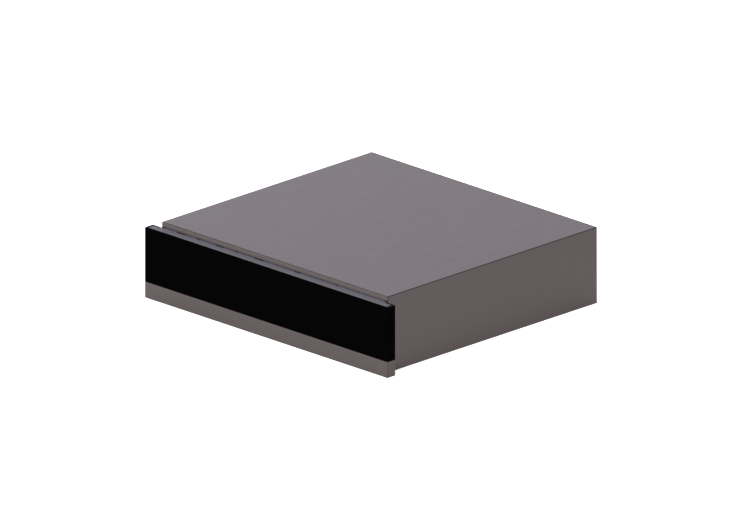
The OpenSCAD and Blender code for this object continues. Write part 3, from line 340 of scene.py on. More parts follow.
# The lip is brushed more coarsely: nearly matt, it shows the light that falls on it more than the room.
# Its colour is painted lighter than the trim's, as painted light that makes up for the dark strip it
# mirrors below.
lit_brushed_lip = sheet_steel("brushed_stainless_lip_painted_light", "z", 2.381 * mm, 200 * mm, "#5b5353", "#625a59",
                          (0.74, 0.82), 0.3)
front_frame = eased_copy("front_frame", "stamped_front_frame", 0.2 * mm)
finish(front_frame, "casing", "brushed_trim", shaded_brushed_front, lit_brushed_lip, painted_edge_shade,
       replaces=["front_frame"])
low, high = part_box("front_frame")
face_y = low.y
lip_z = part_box("side_wall_right")[1].z
edge_w = 0.8 * mm
hem_d = 0.9 * mm
hem_h = 1 * mm
pick(front_frame, "FACE", lambda middle, normal: True)
for at, along in (((0, 0, lip_z), (0, 0, 1)), ((0, 0, high.z - edge_w), (0, 0, 1)),
                  ((0, face_y + hem_d, 0), (0, 1, 0)),
                  ((case_half_w - edge_w, 0, 0), (1, 0, 0)), ((edge_w - case_half_w, 0, 0), (1, 0, 0))):
    bpy.ops.mesh.select_all(action="SELECT")
    bpy.ops.mesh.bisect(plane_co=at, plane_no=along)
# a small hem below the lip leaves only a fine gap over the drawer's control strip
pick(front_frame, "FACE", lambda middle, normal: normal.z < -0.9 and near(middle.z, lip_z)
     and middle.y < face_y + hem_d)
bpy.ops.mesh.extrude_region_move(TRANSFORM_OT_translate={"value": (0, 0, -hem_h)})
activate()
# the lip has its own finish, painted lighter as painted light, and its upper edge and ends get a painted
# shade line
for face in front_frame.data.polygons:
    if face.center.z > lip_z - hem_h:
        on_edge = face.center.z > high.z - edge_w or abs(face.center.x) > case_half_w - edge_w
        face.material_index = 2 if on_edge else 1

# ---- Base pan and side walls ----
# The chassis is of hot-dip galvanised sheet, 1 mm thick. The pan closes the underside, with air inlets
# below the motor. The side walls carry the runners and are folded to reach the cover and the back.

# Hot-dip galvanised steel: dull grey zinc with spangle, crystals about 9 mm across that catch the light.
galvanised, tree, shader, place = new_material("hot_dip_galvanised_steel", "#a3a7aa", 1, 0.42)
crystals = add(tree, "ShaderNodeTexVoronoi", {"Vector": place, "Scale": cells(9.09 * mm)})
vary(tree, shader, crystals.outputs["Color"], "#959a9d", "#b0b4b7", (0.36, 0.5))

base_pan = eased_copy("base_pan", "folded_base_pan", 0.2 * mm)
finish(base_pan, "casing", "galvanised", galvanised, replaces=["base_pan"])
for side in ("left", "right"):
    wall = eased_copy(f"side_wall_{side}", f"folded_side_wall_{side}", 0.2 * mm)
    finish(wall, "casing", "galvanised", galvanised, replaces=[f"side_wall_{side}"])

# ---- Back panel and its screws ----
# A flat galvanised panel with two rows of upright air slots behind the motor. Nine pan-head sheet screws
# with a cross recess hold it to the folded edges of the side walls and the pan.

# Bright zinc plating on steel, with a faint blue cast from its passivation, in clouds some 11 mm across.
zinc, tree, shader, place = new_material("bright_zinc_plate", "#b4babe", 1, 0.28)
clouds = add(tree, "ShaderNodeTexNoise", {"Vector": place, "Scale": cells(11.1 * mm), "Detail": 3})
vary(tree, shader, clouds.outputs["Fac"], "#a9afb4", "#c0c5c8", (0.24, 0.36))

back_panel = eased_copy("back_panel", "slotted_back_panel", 0.15 * mm)
finish(back_panel, "casing", "galvanised", galvanised, replaces=["back_panel"])

screw_r = 1.7 * mm
screw_head_r = 2 * screw_r
screw_head_h = 1.2 * screw_r
recess_w = 0.9 * mm
recess_r = 0.55 * screw_head_r
point_share = 0.25


def cross_screw(name, length, head_h):
    """A sheet screw with its head's underside on the plane y = 0, its point towards -y."""
    rounding = recess_z = 0.45 * head_h
    activate()
    bpy.ops.mesh.primitive_cylinder_add(vertices=24, radius=screw_head_r, depth=head_h,
                                        location=(0, 0, head_h / 2))
    screw = bpy.context.object
    screw.name = screw.data.name = name
    bpy.ops.object.transform_apply(location=True, rotation=True, scale=True)
    pick(screw, "FACE", lambda middle, normal: normal.z > 0.9)
    bpy.ops.mesh.bevel(offset=rounding, segments=4, affect="EDGES")
    pick(screw, "FACE", lambda middle, normal: normal.z < -0.9)
    bpy.ops.mesh.inset(thickness=screw_head_r - screw_r)
    for share in (1 - point_share, point_share):
        bpy.ops.mesh.extrude_region_move(TRANSFORM_OT_translate={"value": (0, 0, -share * length)})
    bpy.ops.transform.resize(value=(point_share, point_share, 1))
    for turn in (0, 90):
        blade = start_box("recess_blade", (-recess_r, -recess_w / 2, recess_z),
                          (recess_r, recess_w / 2, 2 * head_h))
        blade.rotation_euler.z = math.radians(turn)
        apply(screw, "BOOLEAN", operation="DIFFERENCE", solver="EXACT", object=blade)
        bpy.data.objects.remove(blade)
    screw.rotation_euler.x = math.radians(-90)
    activate(screw)
    bpy.ops.object.transform_apply(location=True, rotation=True, scale=True)
    bpy.ops.object.shade_smooth_by_angle(angle=math.radians(35))
    return screw


def twin(piece, name, shift):
    """A copy of a piece with its own mesh, moved by the shift."""
    copy = bpy.data.objects.new(name, piece.data.copy())
    copy.data.name = name
    copy.data.transform(Matrix.Translation(shift))
    bpy.context.scene.collection.objects.link(copy)
    return copy


back_screw_l = 6 * mm
base_screw_inset = 63 * mm
side_screw_shares = (0.18, 0.5, 0.82)
low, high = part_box("back_screws")
panel_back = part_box("back_panel")[1].y
side_screw_x = high.x - screw_head_r
base_screw_x = side_screw_x - base_screw_inset
base_screw_z = low.z + screw_head_r
casing_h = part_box("cover")[1].z
screw_spots = [(x, base_screw_z) for x in (-base_screw_x, 0, base_screw_x)]
screw_spots += [(end * side_screw_x, share * casing_h) for end in (-1, 1) for share in side_screw_shares]
pattern_screw = cross_screw("pattern_screw", back_screw_l, screw_head_h)
for number, (x, z) in enumerate(screw_spots, 1):
    screw = twin(pattern_screw, f"back_screw_{number}", (x, panel_back, z))
    finish(screw, "casing", "zinc_plated", zinc, replaces=["back_screws"])
bpy.data.objects.remove(pattern_screw)

# ---- Liner, ceiling and air baffle ----
# The warm space is lined with plain cold-rolled stainless sheet, 0.8 mm thick: a floor, a ceiling and, at
# the back, the baffle with the fan's intake in the middle and the outlets on both sides.

# Cold-rolled stainless: a dull, even silver with cloudy patches from the rolls, some 45 mm across.
stainless, tree, shader, place = new_material("cold_rolled_stainless", "#b2b1b1", 1, 0.3)
patches = add(tree, "ShaderNodeTexNoise", {"Vector": place, "Scale": cells(45.45 * mm), "Detail": 6,
                                           "Roughness": 0.65})
vary(tree, shader, patches.outputs["Fac"], "#a9a8a8", "#bbbaba", (0.26, 0.36))

for node, name in (("base_liner", "folded_floor_liner"), ("ceiling_plate", "folded_ceiling_plate"),
                   ("air_baffle", "slotted_air_baffle")):
    sheet = eased_copy(node, name, 0.15 * mm)
    finish(sheet, "casing", "stainless", stainless, replaces=[node])

# ---- Insulation ----
# Boards of yellowish mineral wool lie over the ceiling, under the floor and behind both side walls. They
# are cut from slabs, so that their faces are fluffy and their edges a little torn.

# Mineral wool: matt fibres that lie mostly flat, with paler and darker tufts some 4 mm across.
wool, tree, shader, place = new_material("mineral_wool", "#c9bf9a", 0, 1, specular=0.2)
tufts = add(tree, "ShaderNodeTexNoise", {"Vector": place, "Scale": cells(3.846 * mm), "Detail": 8,
                                         "Roughness": 0.75, "Distortion": 1.5})
vary(tree, shader, tufts.outputs["Fac"], "#a89a6d", "#ded7bb", bump=0.8, depth=0.6 * mm)

tuft_cloud = bpy.data.textures.new("wool_tufts", "CLOUDS")
tuft_cloud.noise_scale = 9 * mm
tuft_cloud.noise_depth = 2
fluff = 0.5 * mm
skin_pitch = 8 * mm
torn_edge_w = 0.8 * mm


def wool_board(name, low, high, node):
    """A slab just inside its space, its skin raised and sunk by tufts."""
    board = start_box(name, low + Vector((fluff,) * 3), high - Vector((fluff,) * 3))
    for axis in range(3):
        pick(board, "EDGE", lambda middle, along: abs(along[axis]) > 0.9)
        bpy.ops.mesh.subdivide(number_cuts=int((high - low)[axis] / skin_pitch))
    apply(board, "BEVEL", width=torn_edge_w, segments=2, limit_method="ANGLE")
    # the skin swings by 0.8 of the fluff to each side
    apply(board, "DISPLACE", texture=tuft_cloud, texture_coords="LOCAL", strength=1.6 * fluff,
          mid_level=0.5)
    bpy.ops.object.shade_smooth_by_angle(angle=math.radians(60))
    finish(board, "casing", "mineral_wool", wool, replaces=[node])


for part in ("top", "base"):
    wool_board(f"{part}_wool_board", *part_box(f"{part}_insulation"), f"{part}_insulation")
low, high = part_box("side_insulation")
inner_x = min(abs(vertex.co.x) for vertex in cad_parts["side_insulation"].data.vertices)
wool_board("left_wool_board", low, Vector((-inner_x, high.y, high.z)), "side_insulation")
wool_board("right_wool_board", Vector((inner_x, low.y, low.z)), high, "side_insulation")

# ---- Motor plate and heater ----
# A galvanised plate closes the hot chamber. The heater in front of it is a tube of heat-resisting steel
# filled with magnesia, bent to a ring round the fan wheel, with both ends led out through the plate.

motor_plate = eased_copy("motor_plate", "folded_motor_plate", 0.15 * mm)
finish(motor_plate, "casing", "galvanised", galvanised, replaces=["motor_plate"])

# Heat-resisting steel after some hours of use: straw and brown temper colours over a dull grey, which
# change every 22 mm or so.
sheath, tree, shader, place = new_material("tempered_heater_sheath", "#7d7468", 1, 0.45)
temper = add(tree, "ShaderNodeTexNoise", {"Vector": place, "Scale": cells(22.2 * mm), "Detail": 3})
vary(tree, shader, temper.outputs["Fac"], "#5f564f", "#94846b", (0.38, 0.55))
heater = eased_copy("heater_element", "ring_heater", 0.1 * mm)
finish(heater, "casing", "heater_sheath", sheath, replaces=["heater_element"])

# ---- Fan motor ----
# A shaded-pole motor behind the plate: a stack of stamped steel sheets, a copper winding round its lower
# limb, two bearing bridges and two long bolts. Its shaft turns the sheet-metal fan wheel.


def ridges(pitch):
    """The scale at which the bands of a wave pattern lie this far apart: it draws 20 / tau a unit."""
    return math.tau / 20 / pitch


# Electrical steel stampings in a stack: fine dark lines across the depth, with a bluish oxide. The real
# sheets are 0.5 mm thick, and are drawn at 1 mm so that they show.
stampings, tree, shader, place = new_material("stacked_electrical_steel", "#6f7376", 1, 0.5)
layers = add(tree, "ShaderNodeTexWave", {"Vector": place, "Scale": ridges(1 * mm), "Distortion": 0.3},
             bands_direction="Y")
vary(tree, shader, layers.outputs["Fac"], "#4d5154", "#82878a", (0.42, 0.6), bump=0.4)
stator = eased_copy("motor_stator", "stacked_stator", 0.2 * mm)
finish(stator, "casing", "laminations", stampings, replaces=["motor_stator"])

# Enamelled copper wire, wound side by side: reddish brown ridges 0.6 mm apart, under glossy varnish.
winding, tree, shader, place = new_material("enamelled_copper_winding", "#a8623a", 0, 0.3, ior=1.55)
turns = add(tree, "ShaderNodeTexWave", {"Vector": place, "Scale": ridges(0.6 * mm), "Distortion": 0.6},
            bands_direction="X")
vary(tree, shader, turns.outputs["Fac"], "#6d3619", "#bf7747", bump=0.9, depth=0.3 * mm)
coil = eased_copy("motor_coil", "wound_coil", 1.4 * mm, 4)
finish(coil, "casing", "copper_winding", winding, replaces=["motor_coil"])

for node, name, body in (("motor_brackets", "bearing_bridges", "casing"),
                         ("motor_bolts", "long_motor_bolts", "casing"),
                         ("fan_wheel", "riveted_fan_wheel", "fan_rotor")):
    metal = eased_copy(node, name, 0.12 * mm)
    finish(metal, body, "zinc_plated", zinc, replaces=[node])
shaft = eased_copy("fan_shaft", "ground_fan_shaft", 0.2 * mm)
finish(shaft, "fan_rotor", "stainless", stainless, replaces=["fan_shaft"])

# ---- Electrics ----
# Behind the motor plate are a bimetal cut-out and a temperature probe, the power board in its tray, the
# terminal block for the mains lead, the bush that this lead comes in through, and the leads between them.

# Natural polyamide and ceramic: off-white, slightly waxy mouldings with flow marks some 8 mm across.
white_plastic, tree, shader, place = new_material("natural_polyamide", "#dcdcd6", 0, 0.42, ior=1.53)
flow = add(tree, "ShaderNodeTexNoise", {"Vector": place, "Scale": cells(8.33 * mm), "Detail": 4})
vary(tree, shader, flow.outputs["Fac"], "#d3d2ca", "#e4e4df", (0.36, 0.5), bump=0.1)

# Black polyester moulded in a spark-eroded tool: an even fine grain, just over 0.5 mm across.
dark_plastic, tree, shader, place = new_material("black_moulded_polyester", "#242427", 0, 0.5, ior=1.57)
grain = add(tree, "ShaderNodeTexNoise", {"Vector": place, "Scale": cells(0.5556 * mm), "Detail": 2})
vary(tree, shader, grain.outputs["Fac"], "#1d1d20", "#2b2b2f", (0.42, 0.6), bump=0.35)

# Glass-fibre circuit board under green solder mask, with lighter copper tracks 1.6 mm apart. Its rows of
# bricks are a quarter of a unit high.
board_green, tree, shader, place = new_material("solder_masked_board", "#2d5a3d", 0, 0.3, ior=1.55)
track_pitch = 1.5625 * mm
tracks = add(tree, "ShaderNodeTexBrick", {"Vector": place, "Scale": cells(4 * track_pitch),
                                          "Mortar Size": 0.05, "Color1": (0, 0, 0, 1),
                                          "Color2": (0.25, 0.25, 0.25, 1)})
vary(tree, shader, tracks.outputs["Fac"], "#24502f", "#3d7350", bump=0.2)

# Soft vulcanised rubber: nearly black, with a dull bloom in spots some 7 mm across.
rubber, tree, shader, place = new_material("black_rubber", "#2b2b2d", 0, 0.7, ior=1.52, specular=0.35)
bloom = add(tree, "ShaderNodeTexNoise", {"Vector": place, "Scale": cells(6.667 * mm), "Detail": 5})
vary(tree, shader, bloom.outputs["Fac"], "#232325", "#343436", (0.6, 0.82), bump=0.15)

# Red-brown PVC round stranded wire: smooth, with a soft shine, its tone changing every 14 mm or so.
wire_cover, tree, shader, place = new_material("red_brown_pvc", "#8c3b2e", 0, 0.38, ior=1.54)
tone = add(tree, "ShaderNodeTexNoise", {"Vector": place, "Scale": cells(14.29 * mm), "Detail": 2})
vary(tree, shader, tone.outputs["Fac"], "#7c3226", "#9a4638")

for node, name, slot, material, width in (
        ("temperature_sensors", "cut_out_and_probe", "white_plastic", white_plastic, 0.2),
        ("board_tray", "moulded_board_tray", "dark_plastic", dark_plastic, 0.3),
        ("terminal_block", "moulded_terminal_block", "white_plastic", white_plastic, 0.4),
        ("cable_bush", "moulded_lead_bush", "dark_plastic", dark_plastic, 0.6),
        ("inner_wiring", "rear_leads", "wire_red", wire_cover, 0.05)):
    fitting = eased_copy(node, name, width * mm)
    finish(fitting, "casing", slot, material, replaces=[node])

# black fittings stand on the front of the power board, and white connectors along its foot
board_t = 1.7 * mm
connectors_h = 13 * mm
power_board = eased_copy("power_board", "fitted_power_board", 0.3 * mm)
finish(power_board, "casing", "board_green", board_green, dark_plastic, white_plastic,
       replaces=["power_board"])
low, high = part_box("power_board")
for face in power_board.data.polygons:
    if face.center.y < high.y - board_t:
        face.material_index = 2 if face.center.z < low.z + connectors_h else 1

# ---- Runners ----
# Full-extension ball-bearing runners: three rolled steel sections on each side, zinc plated, with rows of
# steel balls between them. Three rivets hold each outer section to its side wall, and three more each
# inner section to the drawer's side, with their heads set flat so that the ball cages clear them.

rivet_r = 2 * mm
rivet_head_r = 3.4 * mm
rivet_head_h = 0.15 * mm
rivet_l = 2.1 * mm
rivet_shift = 0.1 * mm
rivet_shares = (0.1, 0.5, 0.9)
head_taper = 0.7
for side in ("left", "right"):
    for member, body in (("outer", "casing"), ("middle", f"middle_member_{side}"), ("inner", "drawer")):
        section = eased_copy(f"runner_{member}_{side}", f"rolled_{member}_runner_{side}", 0.2 * mm)
        finish(section, body, "zinc_plated", zinc, replaces=[f"runner_{member}_{side}"])

low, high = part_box("runner_outer_right")
wall_x = high.x
runner_mid = (low.z + high.z) / 2
rivet_rows = [low.y + share * (high.y - low.y) for share in rivet_shares]
drawer_side_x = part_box("runner_inner_right")[0].x
activate()
bpy.ops.mesh.primitive_cylinder_add(vertices=24, radius=rivet_r, depth=rivet_l,
                                    rotation=(0, math.radians(90), 0))
pattern_rivet = bpy.context.object
bpy.ops.object.transform_apply(location=True, rotation=True, scale=True)
for end in (-1, 1):
    pick(pattern_rivet, "FACE", lambda middle, normal: normal.x * end > 0.9 and middle.x * end > 0)
    bpy.ops.mesh.extrude_region_move()
    bpy.ops.transform.resize(value=(1, rivet_head_r / rivet_r, rivet_head_r / rivet_r))
    bpy.ops.mesh.extrude_region_move(TRANSFORM_OT_translate={"value": (end * rivet_head_h, 0, 0)})
    bpy.ops.transform.resize(value=(1, head_taper, head_taper))
activate(pattern_rivet)
bpy.ops.object.shade_smooth_by_angle(angle=math.radians(35))
for side, sign in (("left", -1), ("right", 1)):
    for number, y in enumerate(rivet_rows, 1):
        for part, x, body in (("wall", wall_x - rivet_shift, "casing"),
                              ("drawer", drawer_side_x, "drawer")):
            rivet = twin(pattern_rivet, f"{part}_rivet_{side}_{number}", (sign * x, y, runner_mid))
            finish(rivet, body, "zinc_plated", zinc)
bpy.data.objects.remove(pattern_rivet)

# ---- Ball cages ----
# Between the sections run bent strips of spring steel, each with two rows of seven balls of hardened
# bearing steel, 3.5 mm across.

# Spring steel strip and polished balls: bright, with the dark film of the grease in spots of 5 mm.
bearing_steel, tree, shader, place = new_material("greased_bearing_steel", "#a6a6a5", 1, 0.2)
film = add(tree, "ShaderNodeTexNoise", {"Vector": place, "Scale": cells(5 * mm), "Detail": 3})
vary(tree, shader, film.outputs["Fac"], "#8d8d8b", "#bcbcbb", (0.14, 0.32))


def dress(node, material):
    """A node that stays as it is, with a new material."""
    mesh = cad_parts[node].data
    mesh.materials.clear()
    mesh.materials.append(material)


for side in ("left", "right"):
    for row in ("outer", "inner"):
        dress(f"{row}_cage_{side}", bearing_steel)

# ---- Push latch ----
# At the back of the floor sits a push latch: a black bed with a pivoted white hook, and beside it a
# plunger that a steel spring drives forwards. The hook holds the striker pin under the drawer.

latch_bed = eased_copy("latch_body", "moulded_latch_bed", 0.25 * mm)
finish(latch_bed, "casing", "dark_plastic", dark_plastic, replaces=["latch_body"])
hook = eased_copy("latch_hook", "moulded_latch_hook", 0.25 * mm)
finish(hook, "hook", "white_plastic", white_plastic, replaces=["latch_hook"])
plunger = eased_copy("ejector_plunger", "moulded_plunger", 0.4 * mm)
finish(plunger, "ejector", "white_plastic", white_plastic, replaces=["ejector_plunger"])
striker = eased_copy("latch_striker", "turned_striker_pin", 0.2 * mm)
finish(striker, "drawer", "stainless", stainless, replaces=["latch_striker"])


def wound(name, centre, radius, front, back, turns, wire_r, steps=16, sides=2):
    """A coil of round wire about a line along Y through centre, as a mesh."""
    line = bpy.data.curves.new(name, "CURVE")
    line.dimensions = "3D"
    line.bevel_depth = wire_r
    line.bevel_resolution = sides
    line.use_fill_caps = True
    path = line.splines.new("POLY")
    count = int(turns * steps)
    path.points.add(count)
    for i, point in enumerate(path.points):
        angle = math.tau * i / steps
        point.co = (centre.x + radius * math.sin(angle), front + (back - front) * i / count,
                    centre.z + radius * math.cos(angle), 1)
    piece = bpy.data.objects.new(name, line)
    bpy.context.scene.collection.objects.link(piece)
    activate(piece)
    bpy.ops.object.convert(target="MESH")
    piece = bpy.context.object
    merge(piece)
    bpy.ops.object.shade_smooth_by_angle(angle=math.radians(60))
    return piece


spring_wire_r = 0.45 * mm
spring_turns = 7
low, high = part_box("ejector_spring")
middle = (low + high) / 2
spring = wound("ejector_coil_spring", middle, (high.x - low.x) / 2 - spring_wire_r, low.y + spring_wire_r,
               high.y - spring_wire_r, spring_turns, spring_wire_r)
spring.data.materials.append(stainless)
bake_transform(spring)
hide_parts("ejector_spring")

# ---- Drawer's curly lead ----
# A four-core lead in black rubber is wound to a spring-like coil, so that it reaches from the clamp in
# the rear compartment to the crossbar when the drawer is right out.

lead_wire_r = 1.2 * mm
# shut, its turns nearly touch
lead_pitch = 2.05 * lead_wire_r
low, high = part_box("lead_coil")
middle = (low + high) / 2
lead_turns = int((high.y - low.y) / lead_pitch)
curly_lead = wound("curly_lead", middle, (high.x - low.x) / 2 - lead_wire_r, low.y + lead_wire_r,
                   high.y - lead_wire_r, lead_turns, lead_wire_r, sides=3)
curly_lead.data.materials.append(rubber)
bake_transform(curly_lead)
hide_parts("lead_coil")
control_lead = eased_copy("control_lead", "drawer_lead", 0.1 * mm)
finish(control_lead, "drawer", "rubber", rubber, replaces=["control_lead"])

# ---- Drawer's sides and crossbar ----
# Two folded stainless sides with flanges at the front and below, and a crossbar behind that ties them
# together. It carries the striker, the ejector's tab and two rubber stop buffers.

for side in ("left", "right"):
    flank = eased_copy(f"drawer_side_{side}", f"folded_drawer_side_{side}", 0.2 * mm)
    finish(flank, "drawer", "stainless", stainless, replaces=[f"drawer_side_{side}"])
crossbar = eased_copy("crossbar", "folded_crossbar", 0.2 * mm)
finish(crossbar, "drawer", "stainless", stainless, replaces=["crossbar"])
buffers = eased_copy("stop_buffers", "rubber_stop_buffers", 0.8 * mm, 3)
finish(buffers, "drawer", "rubber", rubber, replaces=["stop_buffers"])

# ---- Tray ----
# The tray is deep-drawn from one stainless sheet, 0.8 mm thick, with large corners and a rounded foot.
# Its rim lies on the drawer's sides and is turned down at its edge. Slots in the back wall let air in.

tray_t = 0.8 * mm
rim_side = 3.2 * mm
rim_end = 2 * mm
rim_fold = 1.6 * mm
tray_r = 22 * mm
tray_foot_r = 8 * mm
low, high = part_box("tray")
tray = start_box("deep_drawn_tray", (low.x + rim_side, low.y + rim_end, low.z),
                 (high.x - rim_side, high.y - rim_end, high.z - tray_t))
pick(tray, "EDGE", lambda middle, along: abs(along.z) > 0.9)
bpy.ops.mesh.bevel(offset=tray_r, segments=16, affect="EDGES")
pick(tray, "EDGE", lambda middle, along: near(middle.z, low.z))
bpy.ops.mesh.bevel(offset=tray_foot_r, segments=8, affect="EDGES")
pick(tray, "FACE", lambda middle, normal: normal.z > 0.9)
bpy.ops.mesh.delete(type="ONLY_FACE")
half_w = high.x - rim_side
half_d = (high.y - low.y) / 2 - rim_end
centre = ((low.x + high.x) / 2, (low.y + high.y) / 2, high.z - tray_t)
pick(tray, "EDGE", lambda middle, along: near(middle.z, high.z - tray_t))
bpy.ops.mesh.extrude_region_move()
bpy.ops.transform.resize(value=(1 + (rim_side - tray_t) / half_w, 1 + (rim_end - tray_t) / half_d, 1),
                         center_override=centre)
bpy.ops.mesh.extrude_region_move(TRANSFORM_OT_translate={"value": (0, 0, -rim_fold)})
apply(tray, "SOLIDIFY", thickness=tray_t, offset=-1, use_even_offset=True)
ease(tray, 0.35 * mm, 3, angle=40)
# ten slots on each side, where the baffle's outlets are, and nine closer ones in front of its intake
slots_low, slots_high = 48 * mm, 98.5 * mm
slot_w = 5 * mm
slot_end_r = 0.49 * slot_w
outer_start, outer_pitch, outer_count = 120 * mm, 12 * mm, 10
inner_pitch, inner_count = 9 * mm, 9
cut_d = 3 * mm
slot_places = [end * (outer_start + outer_pitch * i) for end in (-1, 1) for i in range(outer_count)]
slot_places += [inner_pitch * (i - inner_count // 2) for i in range(inner_count)]
back_y = high.y - rim_end
cutter = start_box("slot_cutter", (slot_places[0] - slot_w / 2, back_y - cut_d, slots_low),
                   (slot_places[0] + slot_w / 2, back_y + cut_d, slots_high))
pick(cutter, "EDGE", lambda middle, along: abs(along.y) > 0.9)
bpy.ops.mesh.bevel(offset=slot_end_r, segments=6, affect="EDGES")
activate()
cutters = [twin(cutter, "slot_cutter", (x - slot_places[0], 0, 0)) for x in slot_places[1:]]
for piece in cutters:
    piece.select_set(True)
cutter.select_set(True)
bpy.context.view_layer.objects.active = cutter
bpy.ops.object.join()
apply(tray, "BOOLEAN", operation="DIFFERENCE", solver="EXACT", object=cutter)
bpy.data.objects.remove(cutter)
finish(tray, "drawer", "stainless", stainless, replaces=["tray"])

# ---- Anti-slip mat ----
# A mat of dark grey silicone lies on the tray's floor. It is moulded with rows of low round studs, which
# let warm air pass under the plates.

# Silicone rubber: matt and slightly chalky in patches of 18 mm, it softens every highlight.
silicone, tree, shader, place = new_material("moulded_silicone", "#3a3a3c", 0, 0.62, ior=1.43)
chalk = add(tree, "ShaderNodeTexNoise", {"Vector": place, "Scale": cells(18.18 * mm), "Detail": 6})
vary(tree, shader, chalk.outputs["Fac"], "#333335", "#424244", (0.56, 0.72), bump=0.1)

stud_pitch = 9 * mm
stud_r = 2.4 * mm
stud_h = 0.7 * mm
plain_margin = 2 * stud_pitch
mat_corner_r = 21.2 * mm
low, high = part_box("anti_slip_mat")
mat = start_box("moulded_mat", low, high)
pick(mat, "EDGE", lambda middle, along: abs(along.z) > 0.9)
bpy.ops.mesh.bevel(offset=mat_corner_r, segments=12, affect="EDGES")
ease(mat, 0.4 * mm)
activate()
bpy.ops.mesh.primitive_cylinder_add(vertices=10, radius=stud_r, depth=2 * stud_h, end_fill_type="NGON",
                                    location=(0, 0, high.z))
stud = bpy.context.object
bpy.ops.object.transform_apply(location=True, rotation=True, scale=True)
pick(stud, "FACE", lambda middle, normal: normal.z > 0.5)
bpy.ops.mesh.bevel(offset=0.6 * stud_h, segments=1, affect="EDGES")
activate(stud)
columns = int((high.x - low.x - plain_margin) / stud_pitch)
rows = int((high.y - low.y - plain_margin) / stud_pitch)
for count, step in ((columns, (stud_pitch, 0, 0)), (rows, (0, stud_pitch, 0))):
    apply(stud, "ARRAY", count=count, use_relative_offset=False, use_constant_offset=True,
          constant_offset_displace=step)
stud.data.transform(Matrix.Translation(((low.x + high.x - (columns - 1) * stud_pitch) / 2,
                                        (low.y + high.y - (rows - 1) * stud_pitch) / 2, 0)))
bpy.ops.object.shade_smooth_by_angle(angle=math.radians(50))
mat.select_set(True)
bpy.context.view_layer.objects.active = mat
bpy.ops.object.join()
finish(mat, "drawer", "mat_rubber", silicone, replaces=["anti_slip_mat"])

# ---- Inner panel and front screws ----
# A stainless panel closes the drawer front from behind. The sides' flanges are fixed to it with four
# sheet screws, whose low heads are out of sight between the front and the casing.

inner_panel = eased_copy("inner_panel", "flat_inner_panel", 0.2 * mm)
finish(inner_panel, "drawer", "stainless", stainless, replaces=["inner_panel"])
front_screw_l = 8 * mm
flat_head_h = 0.5 * mm
low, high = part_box("front_screws")
screw_spots = [(x, z) for x in (low.x + screw_head_r, high.x - screw_head_r)
               for z in (low.z + screw_head_r, high.z - screw_head_r)]
pattern_screw = cross_screw("pattern_screw", front_screw_l, flat_head_h)
for number, (x, z) in enumerate(screw_spots, 1):
    screw = twin(pattern_screw, f"front_screw_{number}", (x, high.y - flat_head_h, z))
    finish(screw, "drawer", "zinc_plated", zinc, replaces=["front_screws"])
bpy.data.objects.remove(pattern_screw)

# ---- Trim strip ----
# The front's foot is a hollow strip folded from 1.2 mm stainless sheet and brushed along its length. Its
# ends are folded in and ground flush.

trim = eased_copy("trim_strip", "folded_trim_strip", 0.5 * mm, 3)
finish(trim, "drawer", "brushed_trim", shaded_brushed_front, shaded_brushed_side, painted_edge_shade, replaces=["trim_strip"])
# the trim's front takes the front's painted shade, its ends the sides' painted shade, and its rounded
# folds a painted shade line
for face in trim.data.polygons:
    face.material_index = by_tilt(face)

# ---- Glass panel ----
# The front is a pane of toughened glass, 3 mm thick and enamelled black behind, with a fine ground
# arris along its edges. It is bonded to a black-coated shell.

# Black-enamelled glass: deep and even black, its polish changing a little every 33 mm or so. The picture
# shows no reflection in it, so that it and its shell have next to no specular level.
glass_black, tree, shader, place = new_material("black_enamelled_glass", "#030202", 0, 0.08, ior=1.52,
                                                specular=0.003)
enamel = add(tree, "ShaderNodeTexNoise", {"Vector": place, "Scale": cells(33.3 * mm), "Detail": 2})
vary(tree, shader, enamel.outputs["Fac"], "#010101", "#020101", (0.06, 0.1))

# Black powder coat: an even orange-peel skin, its grains about 1.1 mm across, that hardly shines.
black_coat, tree, shader, place = new_material("black_powder_coat", "#040303", 0, 0.55, specular=0.003)
peel = add(tree, "ShaderNodeTexNoise", {"Vector": place, "Scale": cells(1.111 * mm), "Detail": 2})
vary(tree, shader, peel.outputs["Fac"], "#010101", "#030202", (0.5, 0.62), bump=0.2)

pane_corner_r = 0.8 * mm
arris_w = 0.3 * mm
glass = start_box("black_glass_pane", glass_low, glass_high)
pick(glass, "EDGE", lambda middle, along: abs(along.y) > 0.9)
bpy.ops.mesh.bevel(offset=pane_corner_r, segments=4, affect="EDGES")
ease(glass, arris_w)
finish(glass, "drawer", "black_glass", glass_black, replaces=["glass_panel"])
shell = eased_copy("front_shell", "coated_front_shell", 0.2 * mm)
finish(shell, "drawer", "black_coat", black_coat, replaces=["front_shell"])

# ---- Control strip ----
# The front's top is a blue-grey lacquered steel strip that runs on under the casing's lip. Its controls
# are touch fields under the lacquer, with small lights beside them and printed marks.

# Satin lacquer with metal flake: an even blue-grey with a fine glitter. The real flake is 0.05 mm across,
# and is drawn at 1.4 mm so that it shows.
lacquer, tree, shader, place = new_material("blue_grey_satin_lacquer", "#66646d", 0.05, 0.5, specular=0.2)
flake = add(tree, "ShaderNodeTexNoise", {"Vector": place, "Scale": cells(1.429 * mm), "Detail": 3})
vary(tree, shader, flake.outputs["Fac"], "#54515a", "#5e5c65", (0.4, 0.52), bump=0.08)
strip = eased_copy("control_strip", "lacquered_control_strip", 0.2 * mm)
finish(strip, "drawer", "control_grey", lacquer, replaces=["control_strip"])

# Screen-printed ink: flat black, a little uneven every 2 mm where the screen laid it thinner. It also
# paints the painted shade bands along the strip's rear and ends.
print_and_shade_ink, tree, shader, place = new_material("black_ink_print_and_painted_shade", "#0c0b0d", 0, 0.7, specular=0.05)
coverage = add(tree, "ShaderNodeTexNoise", {"Vector": place, "Scale": cells(2 * mm), "Detail": 2})
vary(tree, shader, coverage.outputs["Fac"], "#080708", "#100f11")

strip_low, strip_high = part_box("control_strip")
strip_top = strip_high.z
ink_t = 0.04 * mm
